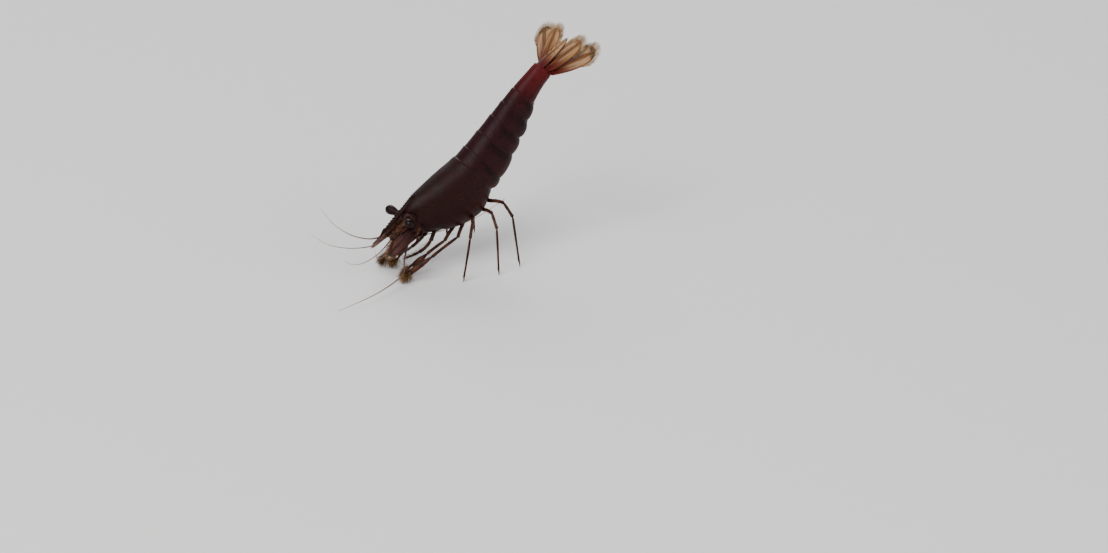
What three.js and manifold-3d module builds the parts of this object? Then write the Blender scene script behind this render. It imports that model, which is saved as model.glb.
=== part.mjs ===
// A dwarf shrimp feeding head down, life size: shell, limbs, feelers and tail fan as separate closed solids.
// Millimetres. In the body group, x runs from the rostrum tip to the tail, z is dorsal and -y is the left.
import * as THREE from "three";
import { LoftGeometry } from "three/addons/geometries/LoftGeometry.js";
import { mergeVertices } from "three/addons/utils/BufferGeometryUtils.js";
import Module from "manifold-3d";

const wasm = await Module();
wasm.setup();

// ---- Driving dimensions ----

const PITCH = THREE.MathUtils.degToRad(43); // the body's axis below the horizontal, head down
const TIP_HEIGHT = 2.4; // the body group's origin above the floor
const GAP = 0.03; // clearance between neighbouring solids
const FEELER = 0.26; // radius of the thin flagella

const ORBIT = 3.1; // front margin of the carapace, behind the rostrum tip
const CARAPACE_REAR = 9.9;
const SOMITE_LENGTHS = [1.4, 1.9, 1.85, 1.6, 1.55]; // tergites one to five
const TAIL_SOMITE = 3.2; // the long sixth somite
const TELSON = { length: 3.35, width: 1.1, rootHeight: 0.86, tipHeight: 0.26 };
const SIDES = [
  ["left", -1],
  ["right", 1],
];

// Dorsal line, lower edge of the side plates and half-width at a few stations along the body.
const SHELL_STATIONS = [
  { at: 2.2, top: 2.1, edge: -0.65, half: 1.2 },
  { at: ORBIT, top: 2.26, edge: -1.4, half: 1.42 },
  { at: 4.5, top: 2.34, edge: -2.42, half: 1.8 },
  { at: 6.2, top: 2.04, edge: -3.25, half: 2.15 },
  { at: 7.8, top: 1.72, edge: -3.68, half: 2.3 },
  { at: CARAPACE_REAR, top: 1.24, edge: -3.36, half: 2.12 },
  { at: 12.7, top: 1.18, edge: -2.82, half: 1.78 },
  { at: 15.5, top: 1.27, edge: -2.27, half: 1.45 },
  { at: 17.6, top: 1.33, edge: -1.5, half: 1.16 },
  { at: 19.8, top: 1.25, edge: -0.89, half: 0.92 },
  { at: 21.4, top: 1.18, edge: -0.8, half: 0.82 },
];
const EDGE_ANGLE = THREE.MathUtils.degToRad(140); // how far the arch of a plate wraps round
const ARCH_STEPS = 18;
const LIP = 0.45; // thickness of the side plates along their lower edge
const SCALLOP = 0.42; // rise of a plate's lower corners
const RIM = 0.05; // step where one plate overlaps the next

const TEETH = { dorsal: 14, ventral: 5, height: 0.17 };
const BLADE = 0.5; // thickness of the rostrum and of the fan's blades

const HEAD_FRONT = 2.35;
const THORAX_FRONT = 4.0;
const EYE_RADIUS = 0.46;
const EYE_PLACE = [2.5, 1.82, 2.1]; // the right eye's centre
const SWIMMERET_SHOW = 0.15; // how far a swimmeret's tip shows below the side plates

// ---- Materials ----

const coat = (color, roughness) => new THREE.MeshStandardMaterial({ color, roughness, metalness: 0 });
const SHELL = coat("#3d1c1e", 0.4);
const TAIL = coat("#58181b", 0.4);
const FAN = coat("#9a5a35", 0.45);
const LIMB = coat("#5a2f27", 0.45);
const EYE = coat("#140808", 0.15);

// ---- Helpers ----

const profile = new THREE.CubicInterpolant(
  SHELL_STATIONS.map((station) => station.at),
  SHELL_STATIONS.flatMap((station) => [station.top, station.edge, station.half]),
  3,
);

/** The shell's dorsal line, lower edge and half-width at one station. */
function shellAt(station) {
  const [top, edge, half] = profile.evaluate(station);
  return { top, edge, half };
}

/** A point given above the floor, in the body group's own axes. */
function fromFloor(x, y, z) {
  const point = new THREE.Vector3(x, y, z - TIP_HEIGHT);
  return point.applyAxisAngle(new THREE.Vector3(0, 1, 0), PITCH);
}

/** A closed geometry as a manifold-3d solid. */
function solidOf(geometry) {
  const bare = new THREE.BufferGeometry().copy(geometry);
  bare.deleteAttribute("normal");
  bare.deleteAttribute("uv");
  const merged = mergeVertices(bare, 1e-4);
  return new wasm.Manifold(
    new wasm.Mesh({
      numProp: 3,
      vertProperties: new Float32Array(merged.attributes.position.array),
      triVerts: new Uint32Array(merged.index.array),
    }),
  );
}

/** A manifold-3d solid as a three.js geometry. */
function geometryOf(solid) {
  const mesh = solid.getMesh();
  const geometry = new THREE.BufferGeometry();
  geometry.setAttribute("position", new THREE.BufferAttribute(mesh.vertProperties, 3));
  geometry.setIndex(new THREE.BufferAttribute(mesh.triVerts, 1));
  geometry.computeVertexNormals();
  return geometry;
}

/** The largest piece of a geometry once each of the tools is cut away. */
function cutBy(geometry, ...tools) {
  let solid = solidOf(geometry);
  for (const tool of tools) solid = solid.subtract(solidOf(tool));
  const pieces = solid.decompose().sort((a, b) => b.volume() - a.volume());
  return geometryOf(pieces[0]);
}

/** Two geometries as one solid. */
function joined(first, second) {
  return geometryOf(solidOf(first).add(solidOf(second)));
}

const body = new THREE.Group();
body.rotation.y = -PITCH;
body.position.z = TIP_HEIGHT;

/** Hangs a geometry, made in the body's axes, in the body group with its own origin at the anchor. */
function place(name, geometry, material, anchor) {
  const mesh = new THREE.Mesh(geometry.translate(-anchor.x, -anchor.y, -anchor.z), material);
  mesh.name = name;
  mesh.position.copy(anchor);
  body.add(mesh);
}

/** A ring of points round a centre, in the plane of two axes. */
function ring(centre, across, up, width, height, sides) {
  return Array.from({ length: sides }, (_, i) => {
    const turn = (i / sides) * 2 * Math.PI;
    return centre
      .clone()
      .addScaledVector(across, width * Math.cos(turn))
      .addScaledVector(up, height * Math.sin(turn));
  });
}

/** A jointed or bent limb of round section through its points. The last ring can lie flat on the floor. */
function limb(points, radii, { sides = 6, onFloor = false } = {}) {
  const floorUp = fromFloor(0, 0, 1).sub(fromFloor(0, 0, 0));
  const sections = points.map((point, i) => {
    const before = points[Math.max(i - 1, 0)];
    const after = points[Math.min(i + 1, points.length - 1)];
    const along = after.clone().sub(before).normalize();
    if (onFloor && i === points.length - 1) along.copy(floorUp).negate();
    const across = new THREE.Vector3(0, 1, 0).cross(along).normalize();
    const up = along.clone().cross(across);
    return ring(point, across, up, radii[i], radii[i], sides);
  });
  return new LoftGeometry(sections, { capStart: true, capEnd: true });
}

/** The points and radii of a chain of segments, each waisted at its joints and fuller in between. */
function segments(joints, thickness) {
  const points = [joints[0]];
  const radii = [thickness[0]];
  for (let i = 1; i < joints.length; i += 1) {
    for (const share of [0.3, 0.8]) {
      points.push(joints[i - 1].clone().lerp(joints[i], share));
      radii.push(thickness[i - 1] * (share < 0.5 ? 1.08 : 1));
    }
    points.push(joints[i]);
    radii.push(thickness[i]);
  }
  return [points, radii];
}

/** A long feeler along a smooth curve. */
function feeler(points, steps) {
  const route = new THREE.CatmullRomCurve3(points).getSpacedPoints(steps);
  const radii = route.map((_, i) => FEELER * (1 - (0.12 * i) / steps));
  return limb(route, radii, { sides: 6 });
}

// ---- Shell plates ----

/**
 * One hoop of shell: an arch down to both lower edges, hollowed from below.
 * reach pushes the side plates along the body, and flare pushes them outward.
 */
function hoop(station, { swell = 0, lift = 0, hollow, tilt = 0, reach = 0, flare = 0 }) {
  const { top, edge, half } = shellAt(station);
  const low = edge + lift;
  const rise = (top - low) / (1 - Math.cos(EDGE_ANGLE));
  const outline = [];
  for (let i = 0; i <= ARCH_STEPS; i += 1) {
    const angle = THREE.MathUtils.lerp(EDGE_ANGLE, -EDGE_ANGLE, i / ARCH_STEPS);
    const side = THREE.MathUtils.smoothstep(Math.abs(angle), 0.3 * Math.PI, 0.6 * Math.PI);
    const y = (half + swell + flare * side) * Math.sin(angle);
    const z = top - rise + (rise + swell) * Math.cos(angle);
    outline.push(new THREE.Vector3(station + tilt * (top - z) + reach * side, y, z));
  }
  const lipAt = half * Math.sin(EDGE_ANGLE) - LIP;
  const roof = low + hollow * (top - low);
  const corner = (y, z) => new THREE.Vector3(station + tilt * (top - z) + (z === low ? reach : 0), y, z);
  outline.push(corner(-lipAt, low), corner(-lipAt, roof), corner(lipAt, roof), corner(lipAt, low));
  return outline;
}

const FRONT_TILT = 0.08; // the carapace's front margin leans back towards its lower corner
const REAR_TILT = -0.06;

/** The carapace, grown outward by an offset when it serves as a cutting tool. */
function carapaceGeometry(offset = 0) {
  const steps = 9;
  const rear = CARAPACE_REAR + offset;
  const sections = [];
  for (let i = 0; i <= steps; i += 1) {
    const u = i / steps;
    const station = THREE.MathUtils.lerp(ORBIT, rear, u);
    sections.push(
      hoop(station, {
        swell: offset + (u === 0 ? -0.06 : 0.02) + RIM * u ** 6,
        lift: 0.35 * u ** 6,
        hollow: 0.2,
        tilt: THREE.MathUtils.lerp(FRONT_TILT, REAR_TILT, u),
      }),
    );
  }
  return new LoftGeometry(sections, { capStart: true, capEnd: true });
}

/** Where a tergite starts and ends along the body. */
function somiteSpan(index) {
  const start = SOMITE_LENGTHS.slice(0, index).reduce((sum, length) => sum + length, CARAPACE_REAR);
  return [start + GAP / 2, start + SOMITE_LENGTHS[index] - GAP / 2];
}

/** One tergite with its two side plates. The second one's plates reach over both neighbours. */
function somiteGeometry(index, offset = 0) {
  const [start, end] = somiteSpan(index);
  const saddle = index === 1;
  const sections = [0, 0.15, 0.5, 0.85, 1].map((u) =>
    hoop(THREE.MathUtils.lerp(start, end, u), {
      swell: offset + THREE.MathUtils.lerp(-RIM, RIM, u),
      lift: SCALLOP * (2 * u - 1) ** 4 - (saddle ? 0.1 : 0),
      hollow: 0.4,
      tilt: index === 0 ? REAR_TILT * (1 - u) : 0,
      reach: saddle ? (u - 0.5) * 1.1 : 0,
      flare: saddle ? 0.16 : 0,
    }),
  );
  return new LoftGeometry(sections, { capStart: true, capEnd: true });
}

/** The sixth somite: a closed oval barrel that narrows behind its front rim. */
function tailSomiteGeometry() {
  const start = somiteSpan(4)[1] + GAP;
  const sections = [0, 0.08, 0.3, 0.65, 0.92, 1].map((u) => {
    const station = start + TAIL_SOMITE * u;
    const { top, edge, half } = shellAt(station);
    const pinch = u === 0 ? 0.1 : 0;
    const centre = new THREE.Vector3(station, 0, (top + edge) / 2);
    const across = new THREE.Vector3(0, 1, 0);
    const up = new THREE.Vector3(0, 0, 1);
    return ring(centre, across, up, half - pinch, (top - edge) / 2 - pinch, 16);
  });
  return new LoftGeometry(sections, { capStart: true, capEnd: true });
}

const TAIL_START = somiteSpan(4)[1] + GAP + TAIL_SOMITE;

// ---- Carapace, thorax and pleon ----

place("carapace", carapaceGeometry(), SHELL, new THREE.Vector3(ORBIT, 0, 0));

/** The underside of the thorax: a keel that fills the hollow of the carapace and carries the legs. */
function thoraxGeometry(offset = 0) {
  const start = THORAX_FRONT;
  const end = CARAPACE_REAR - 0.75;
  const steps = 5;
  const sections = [];
  for (let i = 0; i <= steps; i += 1) {
    const station = THREE.MathUtils.lerp(start, end, i / steps);
    const { top, edge, half } = shellAt(station);
    const roof = edge + 0.2 * (top - edge) - GAP - 0.02;
    const wide = half * Math.sin(EDGE_ANGLE) - LIP - GAP + offset;
    const drop = edge - 0.28 - offset;
    const outline = [
      [wide, roof],
      [-wide, roof],
      [-wide, edge],
      [-0.7 * wide, drop],
      [0.7 * wide, drop],
      [wide, edge],
    ];
    sections.push(outline.map(([y, z]) => new THREE.Vector3(station, y, z)));
  }
  return new LoftGeometry(sections, { capStart: true, capEnd: true });
}

const thorax = cutBy(thoraxGeometry(), carapaceGeometry(GAP));
place("thorax", thorax, LIMB, new THREE.Vector3(THORAX_FRONT, 0, shellAt(THORAX_FRONT).edge));

SOMITE_LENGTHS.forEach((_, index) => {
  const own = somiteGeometry(index);
  const overlapped = index === 0 || index === 2;
  const geometry = overlapped ? cutBy(own, somiteGeometry(1, GAP), somiteGeometry(1)) : own;
  place("pleon_" + (index + 1), geometry, SHELL, new THREE.Vector3(somiteSpan(index)[0], 0, 0));
});
place("pleon_6", tailSomiteGeometry(), TAIL, new THREE.Vector3(somiteSpan(4)[1], 0, 0.2));

// ---- Head ----

/** The front of the head, between the carapace and the feelers. */
function headGeometry() {
  const sections = [0, 0.35, 1].map((u) => {
    const station = THREE.MathUtils.lerp(HEAD_FRONT, ORBIT - GAP, u);
    const centre = new THREE.Vector3(station, 0, THREE.MathUtils.lerp(0.95, 0.72, u));
    const across = new THREE.Vector3(0, 1, 0);
    const up = new THREE.Vector3(0, 0, 1);
    return ring(centre, across, up, 0.85 + 0.3 * Math.sqrt(u), 0.85 + 0.4 * Math.sqrt(u), 14);
  });
  return new LoftGeometry(sections, { capStart: true, capEnd: true });
}

place("head", headGeometry(), SHELL, new THREE.Vector3(HEAD_FRONT, 0, 0.9));

/** The toothed blade between the eyes, run back as a crest on the carapace. */
function rostrumGeometry() {
  const crestEnd = 4.9;
  const outline = new THREE.Shape();
  outline.moveTo(0, 2.43);
  const toothStep = (crestEnd - 0.7) / TEETH.dorsal;
  for (let i = 0; i < TEETH.dorsal; i += 1) {
    const station = 0.7 + i * toothStep;
    const ridge = 2.47 + 0.07 * Math.sin((Math.PI * station) / crestEnd);
    outline.lineTo(station, ridge + TEETH.height);
    outline.lineTo(station + 0.9 * toothStep, ridge);
  }
  outline.lineTo(crestEnd, 2.2);
  outline.lineTo(ORBIT + 0.3, 1.7);
  outline.lineTo(ORBIT - 0.35, 2.02);
  for (let i = 0; i < TEETH.ventral; i += 1) {
    const station = 2.1 - i * 0.34;
    outline.lineTo(station + 0.17, 2.1 + 0.04 * i);
    outline.lineTo(station, 2.02 + 0.04 * i);
  }
  const blade = new THREE.ExtrudeGeometry(outline, { depth: BLADE, bevelEnabled: false });
  blade.rotateX(Math.PI / 2);
  return blade.translate(0, BLADE / 2, 0);
}

const rostrum = cutBy(rostrumGeometry(), carapaceGeometry(GAP), headGeometry());
place("rostrum", rostrum, SHELL, new THREE.Vector3(ORBIT, 0, 2.3));

for (const [side, sign] of SIDES) {
  const at = (x, y, z) => new THREE.Vector3(x, sign * y, z);

  const eyeCentre = at(...EYE_PLACE);
  const eye = new THREE.SphereGeometry(EYE_RADIUS, 12, 9).translate(eyeCentre.x, eyeCentre.y, eyeCentre.z);
  place("eye_" + side, eye, EYE, eyeCentre);

  const cup = new THREE.SphereGeometry(EYE_RADIUS + GAP, 12, 9);
  cup.translate(eyeCentre.x, eyeCentre.y, eyeCentre.z);
  const stalkLine = [at(2.78, 0.6, 1.7), at(2.66, 1.1, 1.9), at(2.56, 1.6, 2.04)];
  const stalk = limb(stalkLine, [0.34, 0.33, 0.4], { sides: 10 });
  const stalkCut = cutBy(stalk, cup, headGeometry(), carapaceGeometry(GAP), rostrumGeometry());
  place("eyestalk_" + side, stalkCut, SHELL, at(2.6, 1.1, 1.9));

  const stem = [at(2.4, 0.56, 1.28), at(1.6, 0.57, 1.36), at(0.95, 0.57, 1.44), at(0.4, 0.57, 1.5)];
  const antennule = limb(...segments(stem, [0.3, 0.31, 0.3, 0.3]), { sides: 8 });
  place("antennule_" + side, cutBy(antennule, headGeometry()), LIMB, stem[0]);

  const fork = fromFloor(-0.86, 0, 3.67);
  const inner = [
    new THREE.Vector3(fork.x, sign * 0.3, fork.z),
    fromFloor(-2.0, sign * 0.75, 3.0),
    fromFloor(-3.8, sign * 1.6, 2.8),
    fromFloor(-5.6, sign * 2.5, 3.2),
    fromFloor(-7.0, sign * 3.3, 4.2),
  ];
  place("antennule_whip_inner_" + side, feeler(inner, 12), LIMB, inner[0]);
  const outer = [
    new THREE.Vector3(fork.x, sign * 0.87, fork.z),
    fromFloor(-1.9, sign * 1.75, 3.25),
    fromFloor(-3.2, sign * 3.0, 3.5),
    fromFloor(-4.3, sign * 4.3, 4.4),
    fromFloor(-5.0, sign * 5.3, 5.7),
  ];
  place("antennule_whip_outer_" + side, feeler(outer, 12), LIMB, outer[0]);
}

// ---- Feelers and mouth limbs ----

/** A flat leaf of oval section along +x, widest at a share of its length. */
function leafGeometry(length, width, { root, widest = 0.55, tip, thickness = BLADE, steps = 7, sides = 10 }) {
  const sections = [];
  for (let i = 0; i <= steps; i += 1) {
    const u = i / steps;
    const swell = u < widest ? Math.sin((u / widest) * 0.5 * Math.PI) : 1;
    const taper = u < widest ? 1 : Math.cos(((u - widest) / (1 - widest)) * 0.5 * Math.PI) ** 0.7;
    const wide = 0.5 * width * Math.min(root + (1 - root) * swell, tip + (1 - tip) * taper);
    const thick = 0.5 * thickness * (u < 0.75 ? 1 : THREE.MathUtils.lerp(1, 0.7, (u - 0.75) / 0.25));
    const centre = new THREE.Vector3(length * u, 0, 0);
    sections.push(ring(centre, new THREE.Vector3(0, 1, 0), new THREE.Vector3(0, 0, 1), wide, thick, sides));
  }
  return new LoftGeometry(sections, { capStart: true, capEnd: true });
}

/** Lays a leaf from its root towards a point in the body's axes, keeping its flat face up. */
function aimed(geometry, root, towards) {
  const along = towards.clone().sub(root).normalize();
  const across = new THREE.Vector3(0, 0, 1).cross(along).normalize();
  const up = along.clone().cross(across);
  return geometry.applyMatrix4(new THREE.Matrix4().makeBasis(along, across, up).setPosition(root));
}

for (const [side, sign] of SIDES) {
  const at = (x, y, z) => new THREE.Vector3(x, sign * y, z);

  const scaleRoot = at(2.3, 1.28, 0.86);
  const scaleTip = at(-0.85, 1.5, 1.2);
  const scale = leafGeometry(scaleRoot.distanceTo(scaleTip), 1.05, { root: 0.5, tip: 0.45 });
  place("antennal_scale_" + side, aimed(scale, scaleRoot, scaleTip), FAN, scaleRoot);

  const stem = [at(2.35, 1.0, 0.25), at(1.75, 1.06, 0.24), at(1.15, 1.1, 0.27)];
  const base = limb(...segments(stem, [0.3, 0.3, 0.3]), { sides: 8 });
  place("antenna_" + side, cutBy(base, headGeometry()), LIMB, stem[0]);

  const mouthLimb = [at(3.7, 0.42, -1.6), at(2.7, 0.66, -1.85), at(1.2, 0.7, -1.65), at(-0.1, 0.5, -0.95)];
  const maxilliped = limb(...segments(mouthLimb, [0.3, 0.29, 0.27, 0.22]), { sides: 6 });
  const maxillipedCut = cutBy(maxilliped, headGeometry(), carapaceGeometry(GAP), thoraxGeometry(GAP));
  place("maxilliped_" + side, maxillipedCut, LIMB, mouthLimb[0]);
}

const whipRoot = (sign) => new THREE.Vector3(1.04, sign * 1.11, 0.3);
const forwardWhip = [
  whipRoot(-1),
  fromFloor(-0.2, -1.95, 2.3),
  fromFloor(-0.75, -2.75, 1.4),
  fromFloor(-1.9, -3.3, 1.0),
  fromFloor(-4.7, -4.35, 0.7),
  fromFloor(-8.8, -5.5, 0.6),
];
place("antenna_whip_left", feeler(forwardWhip, 20), LIMB, forwardWhip[0]);
const sweptWhip = [
  whipRoot(1),
  fromFloor(0.0, 2.2, 3.1),
  fromFloor(0.4, 3.4, 2.45),
  fromFloor(2.2, 3.9, 1.7),
  fromFloor(4.8, 3.6, 1.4),
  fromFloor(8.0, 3.4, 1.6),
  fromFloor(10.4, 3.05, 2.3),
  fromFloor(12.9, 2.7, 3.6),
];
place("antenna_whip_right", feeler(sweptWhip, 22), LIMB, sweptWhip[0]);

// ---- Walking legs and claws ----

const FOOT = 0.25; // radius of the flat under each foot

// Each row is one pair: hip in the body's axes, then knee, wrist and tip above the floor.
const LEGS = [
  { hip: [5.3, 0.55, -2.85], knee: [4.3, 1.35, 2.9], wrist: [2.3, 1.7, 2.2], tip: [0.95, 1.44, 1.12] },
  { hip: [6.1, 0.6, -3.35], knee: [5.1, 2.4, 3.5], wrist: [2.2, 2.8, 2.35], tip: [0.3, 2.3, 1.08] },
  { hip: [7.0, 0.68, -3.65], knee: [6.3, 3.0, 4.9], wrist: [5.5, 4.0, 3.9], tip: [4.4, 4.6, 0] },
  { hip: [7.9, 0.72, -3.78], knee: [8.2, 3.2, 5.5], wrist: [8.1, 4.3, 4.4], tip: [7.9, 5.0, 0] },
  { hip: [8.8, 0.7, -3.72], knee: [9.7, 2.7, 6.0], wrist: [10.1, 3.7, 4.9], tip: [10.5, 4.3, 0] },
];
const PALMS = [0.38, 0.32]; // half-widths of the first two pairs' claws; the others have plain feet

/** A limb that ends in a small claw: two short fingers at the end of a fuller palm. */
function clawLimb(joints, palm) {
  const [hip, knee, wrist, tip] = joints;
  const along = tip.clone().sub(wrist).normalize();
  const across = new THREE.Vector3(0, 1, 0).cross(along).normalize();
  const palmEnd = tip.clone().addScaledVector(along, 0.1);
  const thigh = hip.clone().lerp(knee, 0.6);
  const forearm = knee.clone().lerp(wrist, 0.7);
  const hand = wrist.clone().lerp(tip, 0.5);
  const arm = limb(
    [hip, thigh, knee, forearm, wrist, hand, palmEnd],
    [0.3, 0.32, 0.28, 0.31, 0.25, palm, 0.8 * palm],
  );
  return [-1, 1].reduce((whole, way) => {
    const root = tip.clone().addScaledVector(across, way * 0.5 * palm).addScaledVector(along, -0.15);
    const end = tip.clone().addScaledVector(across, way * 0.62 * palm).addScaledVector(along, 0.75);
    const finger = limb([root, root.clone().lerp(end, 0.6), end], [0.24, 0.2, 0.13]);
    return joined(whole, finger);
  }, arm);
}

LEGS.forEach(({ hip, knee, wrist, tip }, index) => {
  const palm = PALMS[index];
  for (const [side, sign] of SIDES) {
    const start = new THREE.Vector3(hip[0], sign * hip[1], hip[2]);
    const bends = [knee, wrist, tip].map(([x, y, z]) => fromFloor(x, sign * y, z));
    const walking = segments([start, ...bends], [0.34, 0.33, 0.29, FOOT]);
    const whole = palm ? clawLimb([start, ...bends], palm) : limb(...walking, { onFloor: true });
    const cut = cutBy(whole, thoraxGeometry(GAP), carapaceGeometry(GAP));
    place("leg_" + (index + 1) + "_" + side, cut, LIMB, start);
  }
});

// ---- Swimmerets and tail fan ----

SOMITE_LENGTHS.forEach((length, index) => {
  const [start, end] = somiteSpan(index);
  const middle = (start + end) / 2;
  const { top, edge, half } = shellAt(middle);
  const roof = edge + 0.4 * (top - edge) - GAP;
  const room = half * Math.sin(EDGE_ANGLE) - LIP - 2 * GAP;
  for (const [side, sign] of SIDES) {
    const root = new THREE.Vector3(middle - 0.1, sign * (room / 2 + GAP / 2), roof - 0.12);
    const reach = (index < 4 ? 1 : 0.8) * length;
    const tipDrop = roof - edge + SWIMMERET_SHOW;
    const tip = root.clone().add(new THREE.Vector3(reach, 0, -tipDrop));
    const form = { root: 0.9, widest: 0.5, tip: 0.6, steps: 4, sides: 8 };
    const paddle = leafGeometry(root.distanceTo(tip), room - GAP, form);
    const swimmeret = aimed(paddle, root, tip);
    const own = [somiteGeometry(index, GAP)];
    if (index < 4) own.push(somiteGeometry(index + 1, GAP));
    place("pleopod_" + (index + 1) + "_" + side, cutBy(swimmeret, ...own), FAN, root);
  }
});

const fanBase = TAIL_START + GAP;
const telsonRoot = new THREE.Vector3(fanBase, 0, TELSON.rootHeight);
const telsonTip = new THREE.Vector3(fanBase + TELSON.length, 0, TELSON.tipHeight);
const telson = leafGeometry(TELSON.length, TELSON.width, { root: 0.85, widest: 0.15, tip: 0.45 });
place("telson", aimed(telson, telsonRoot, telsonTip), TAIL, telsonRoot);

const BLADES = [
  { name: "inner", splay: { left: 21, right: 28 }, length: 4.2, width: 1.65, root: [0.13, 0.44, 0.16] },
  { name: "outer", splay: { left: 40, right: 52 }, length: 5.1, width: 1.85, root: [0.2, 0.62, -0.38] },
];
for (const { name, splay, length, width, root } of BLADES) {
  for (const [side, sign] of SIDES) {
    const start = new THREE.Vector3(fanBase + root[0], sign * root[1], root[2]);
    const turn = THREE.MathUtils.degToRad(splay[side]);
    const towards = start.clone().add(new THREE.Vector3(Math.cos(turn), sign * Math.sin(turn), 0));
    const form = { root: 0.46, widest: 0.66, tip: 0.5, thickness: BLADE - 0.02 };
    const blade = leafGeometry(length, width, form);
    place("uropod_" + name + "_" + side, aimed(blade, start, towards), FAN, start);
  }
}

// ---- The finished animal, its origin under the middle of its box ----

const group = new THREE.Group();
group.add(body);
group.updateMatrixWorld(true);
const box = new THREE.Box3().setFromObject(group, true);
const middle = box.getCenter(new THREE.Vector3());
body.position.add(new THREE.Vector3(-middle.x, -middle.y, -box.min.z));
export default group;
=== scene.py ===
"""Looks of a dwarf shrimp that feeds head down: plates, limbs, feelers, tail fan and bristles."""
import logging
import math
import random
from dataclasses import dataclass, field
from enum import Enum
from typing import Any, Callable, Iterable, Sequence

import bpy
from mathutils import Matrix, Vector


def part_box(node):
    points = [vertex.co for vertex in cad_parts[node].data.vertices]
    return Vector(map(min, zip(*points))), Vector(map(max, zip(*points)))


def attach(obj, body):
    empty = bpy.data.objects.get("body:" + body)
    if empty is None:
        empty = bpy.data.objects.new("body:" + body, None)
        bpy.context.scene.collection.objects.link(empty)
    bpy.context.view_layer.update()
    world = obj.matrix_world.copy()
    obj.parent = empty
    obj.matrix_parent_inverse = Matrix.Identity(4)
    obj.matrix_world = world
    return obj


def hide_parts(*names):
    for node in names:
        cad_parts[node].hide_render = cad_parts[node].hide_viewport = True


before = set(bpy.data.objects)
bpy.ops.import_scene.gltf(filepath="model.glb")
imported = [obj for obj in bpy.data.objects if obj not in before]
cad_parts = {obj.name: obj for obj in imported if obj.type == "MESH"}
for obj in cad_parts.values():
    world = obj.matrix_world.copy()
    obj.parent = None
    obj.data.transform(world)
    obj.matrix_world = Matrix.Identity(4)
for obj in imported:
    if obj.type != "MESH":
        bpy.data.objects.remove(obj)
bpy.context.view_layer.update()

LOG = logging.getLogger("shrimp")

MM = 0.001
PITCH = math.radians(43.0)
TIP_HEIGHT = 2.4  # the body axes' origin above the floor, in millimetres
EYE_PLACE = (2.5, 1.82, 2.1)  # right eye's centre in the body's axes, in millimetres
EDGE_ANGLE = math.radians(140.0)
SMOOTH_ANGLE = math.radians(50.0)
FLOOR_GAP = 0.03  # what bristles stay clear of the floor by, in millimetres
ROUTE_CELLS = 24  # how finely a route is worked out between two of its points
BLADE_END = 0.99999  # where a blade is cut off, just short of its pointed end

# A limb segment's share of its length, and its radius there as a share of the plain cone's.
SEGMENT_SHAPE = (
    (0.0, 0.55),
    (0.03, 0.8),
    (0.1, 0.97),
    (0.3, 1.06),
    (0.6, 1.0),
    (0.85, 1.02),
    (0.95, 1.14),
    (1.0, 1.0),
)

ROSTRUM_TIP = 2.43  # the height of the rostrum's tip in the body's axes, in millimetres
ORBIT = 3.1
CARAPACE_REAR = 9.9
SOMITE_LENGTHS = (1.4, 1.9, 1.85, 1.6, 1.55)
TAIL_SOMITE = 3.2
TELSON = 3.35
TAIL_BASE = CARAPACE_REAR + sum(SOMITE_LENGTHS) + TAIL_SOMITE
BODY_LENGTH = TAIL_BASE + TELSON


class Side(Enum):
    """Left or right of the body, with the sign of y."""

    LEFT = -1
    RIGHT = 1

    @property
    def word(self) -> str:
        """The side as it stands in a node's name."""
        return self.name.lower()

    def at(self, x: float, y: float, z: float) -> Vector:
        """A point on this side, in body millimetres, with y outward from the middle."""
        return Vector((x, y * self.value, z))


class Section(Enum):
    """How a sweep's rings close: all round, or open below as an arch of shell."""

    CLOSED = "closed"
    ARCH = "arch"


# ---- Placing ----


@dataclass(frozen=True)
class Stance:
    """Where the body's own axes lie in the frame."""

    origin: tuple[float, float, float]
    pitch: float = PITCH

    @classmethod
    def from_frame(cls) -> "Stance":
        """Finds the body's origin from the two eyes.

        Returns:
            The stance, in millimetres.
        """
        middle = Vector((0.0, 0.0, 0.0))
        for side in Side:
            low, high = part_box(f"eye_{side.word}")
            middle += (Vector(low) + Vector(high)) * 0.25 / MM
        turned = Matrix.Rotation(-PITCH, 3, "Y") @ Vector((EYE_PLACE[0], 0.0, EYE_PLACE[2]))
        return cls(tuple(middle - turned))

    def matrix(self) -> Matrix:
        """Body millimetres to frame metres."""
        return Matrix.Scale(MM, 4) @ Matrix.Translation(self.origin) @ Matrix.Rotation(-self.pitch, 4, "Y")

    def above_floor(self, x: float, y: float, z: float) -> Vector:
        """A point given from the body's origin in plan and by its height, in the body's own axes.

        Args:
            x: Millimetres toward the tail.
            y: Millimetres to the right.
            z: Millimetres above the floor.

        Returns:
            The point in body millimetres.
        """
        return Matrix.Rotation(self.pitch, 3, "Y") @ Vector((x, y, z - TIP_HEIGHT))

    def height(self, place: Vector) -> float:
        """How far above the floor a point in body millimetres is, in millimetres."""
        return (self.matrix() @ place).z / MM


STANCE = Stance.from_frame()


@dataclass(frozen=True)
class Station:
    """The shell's size at one place along the body, in millimetres."""

    at: float
    top: float
    edge: float
    half: float


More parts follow.
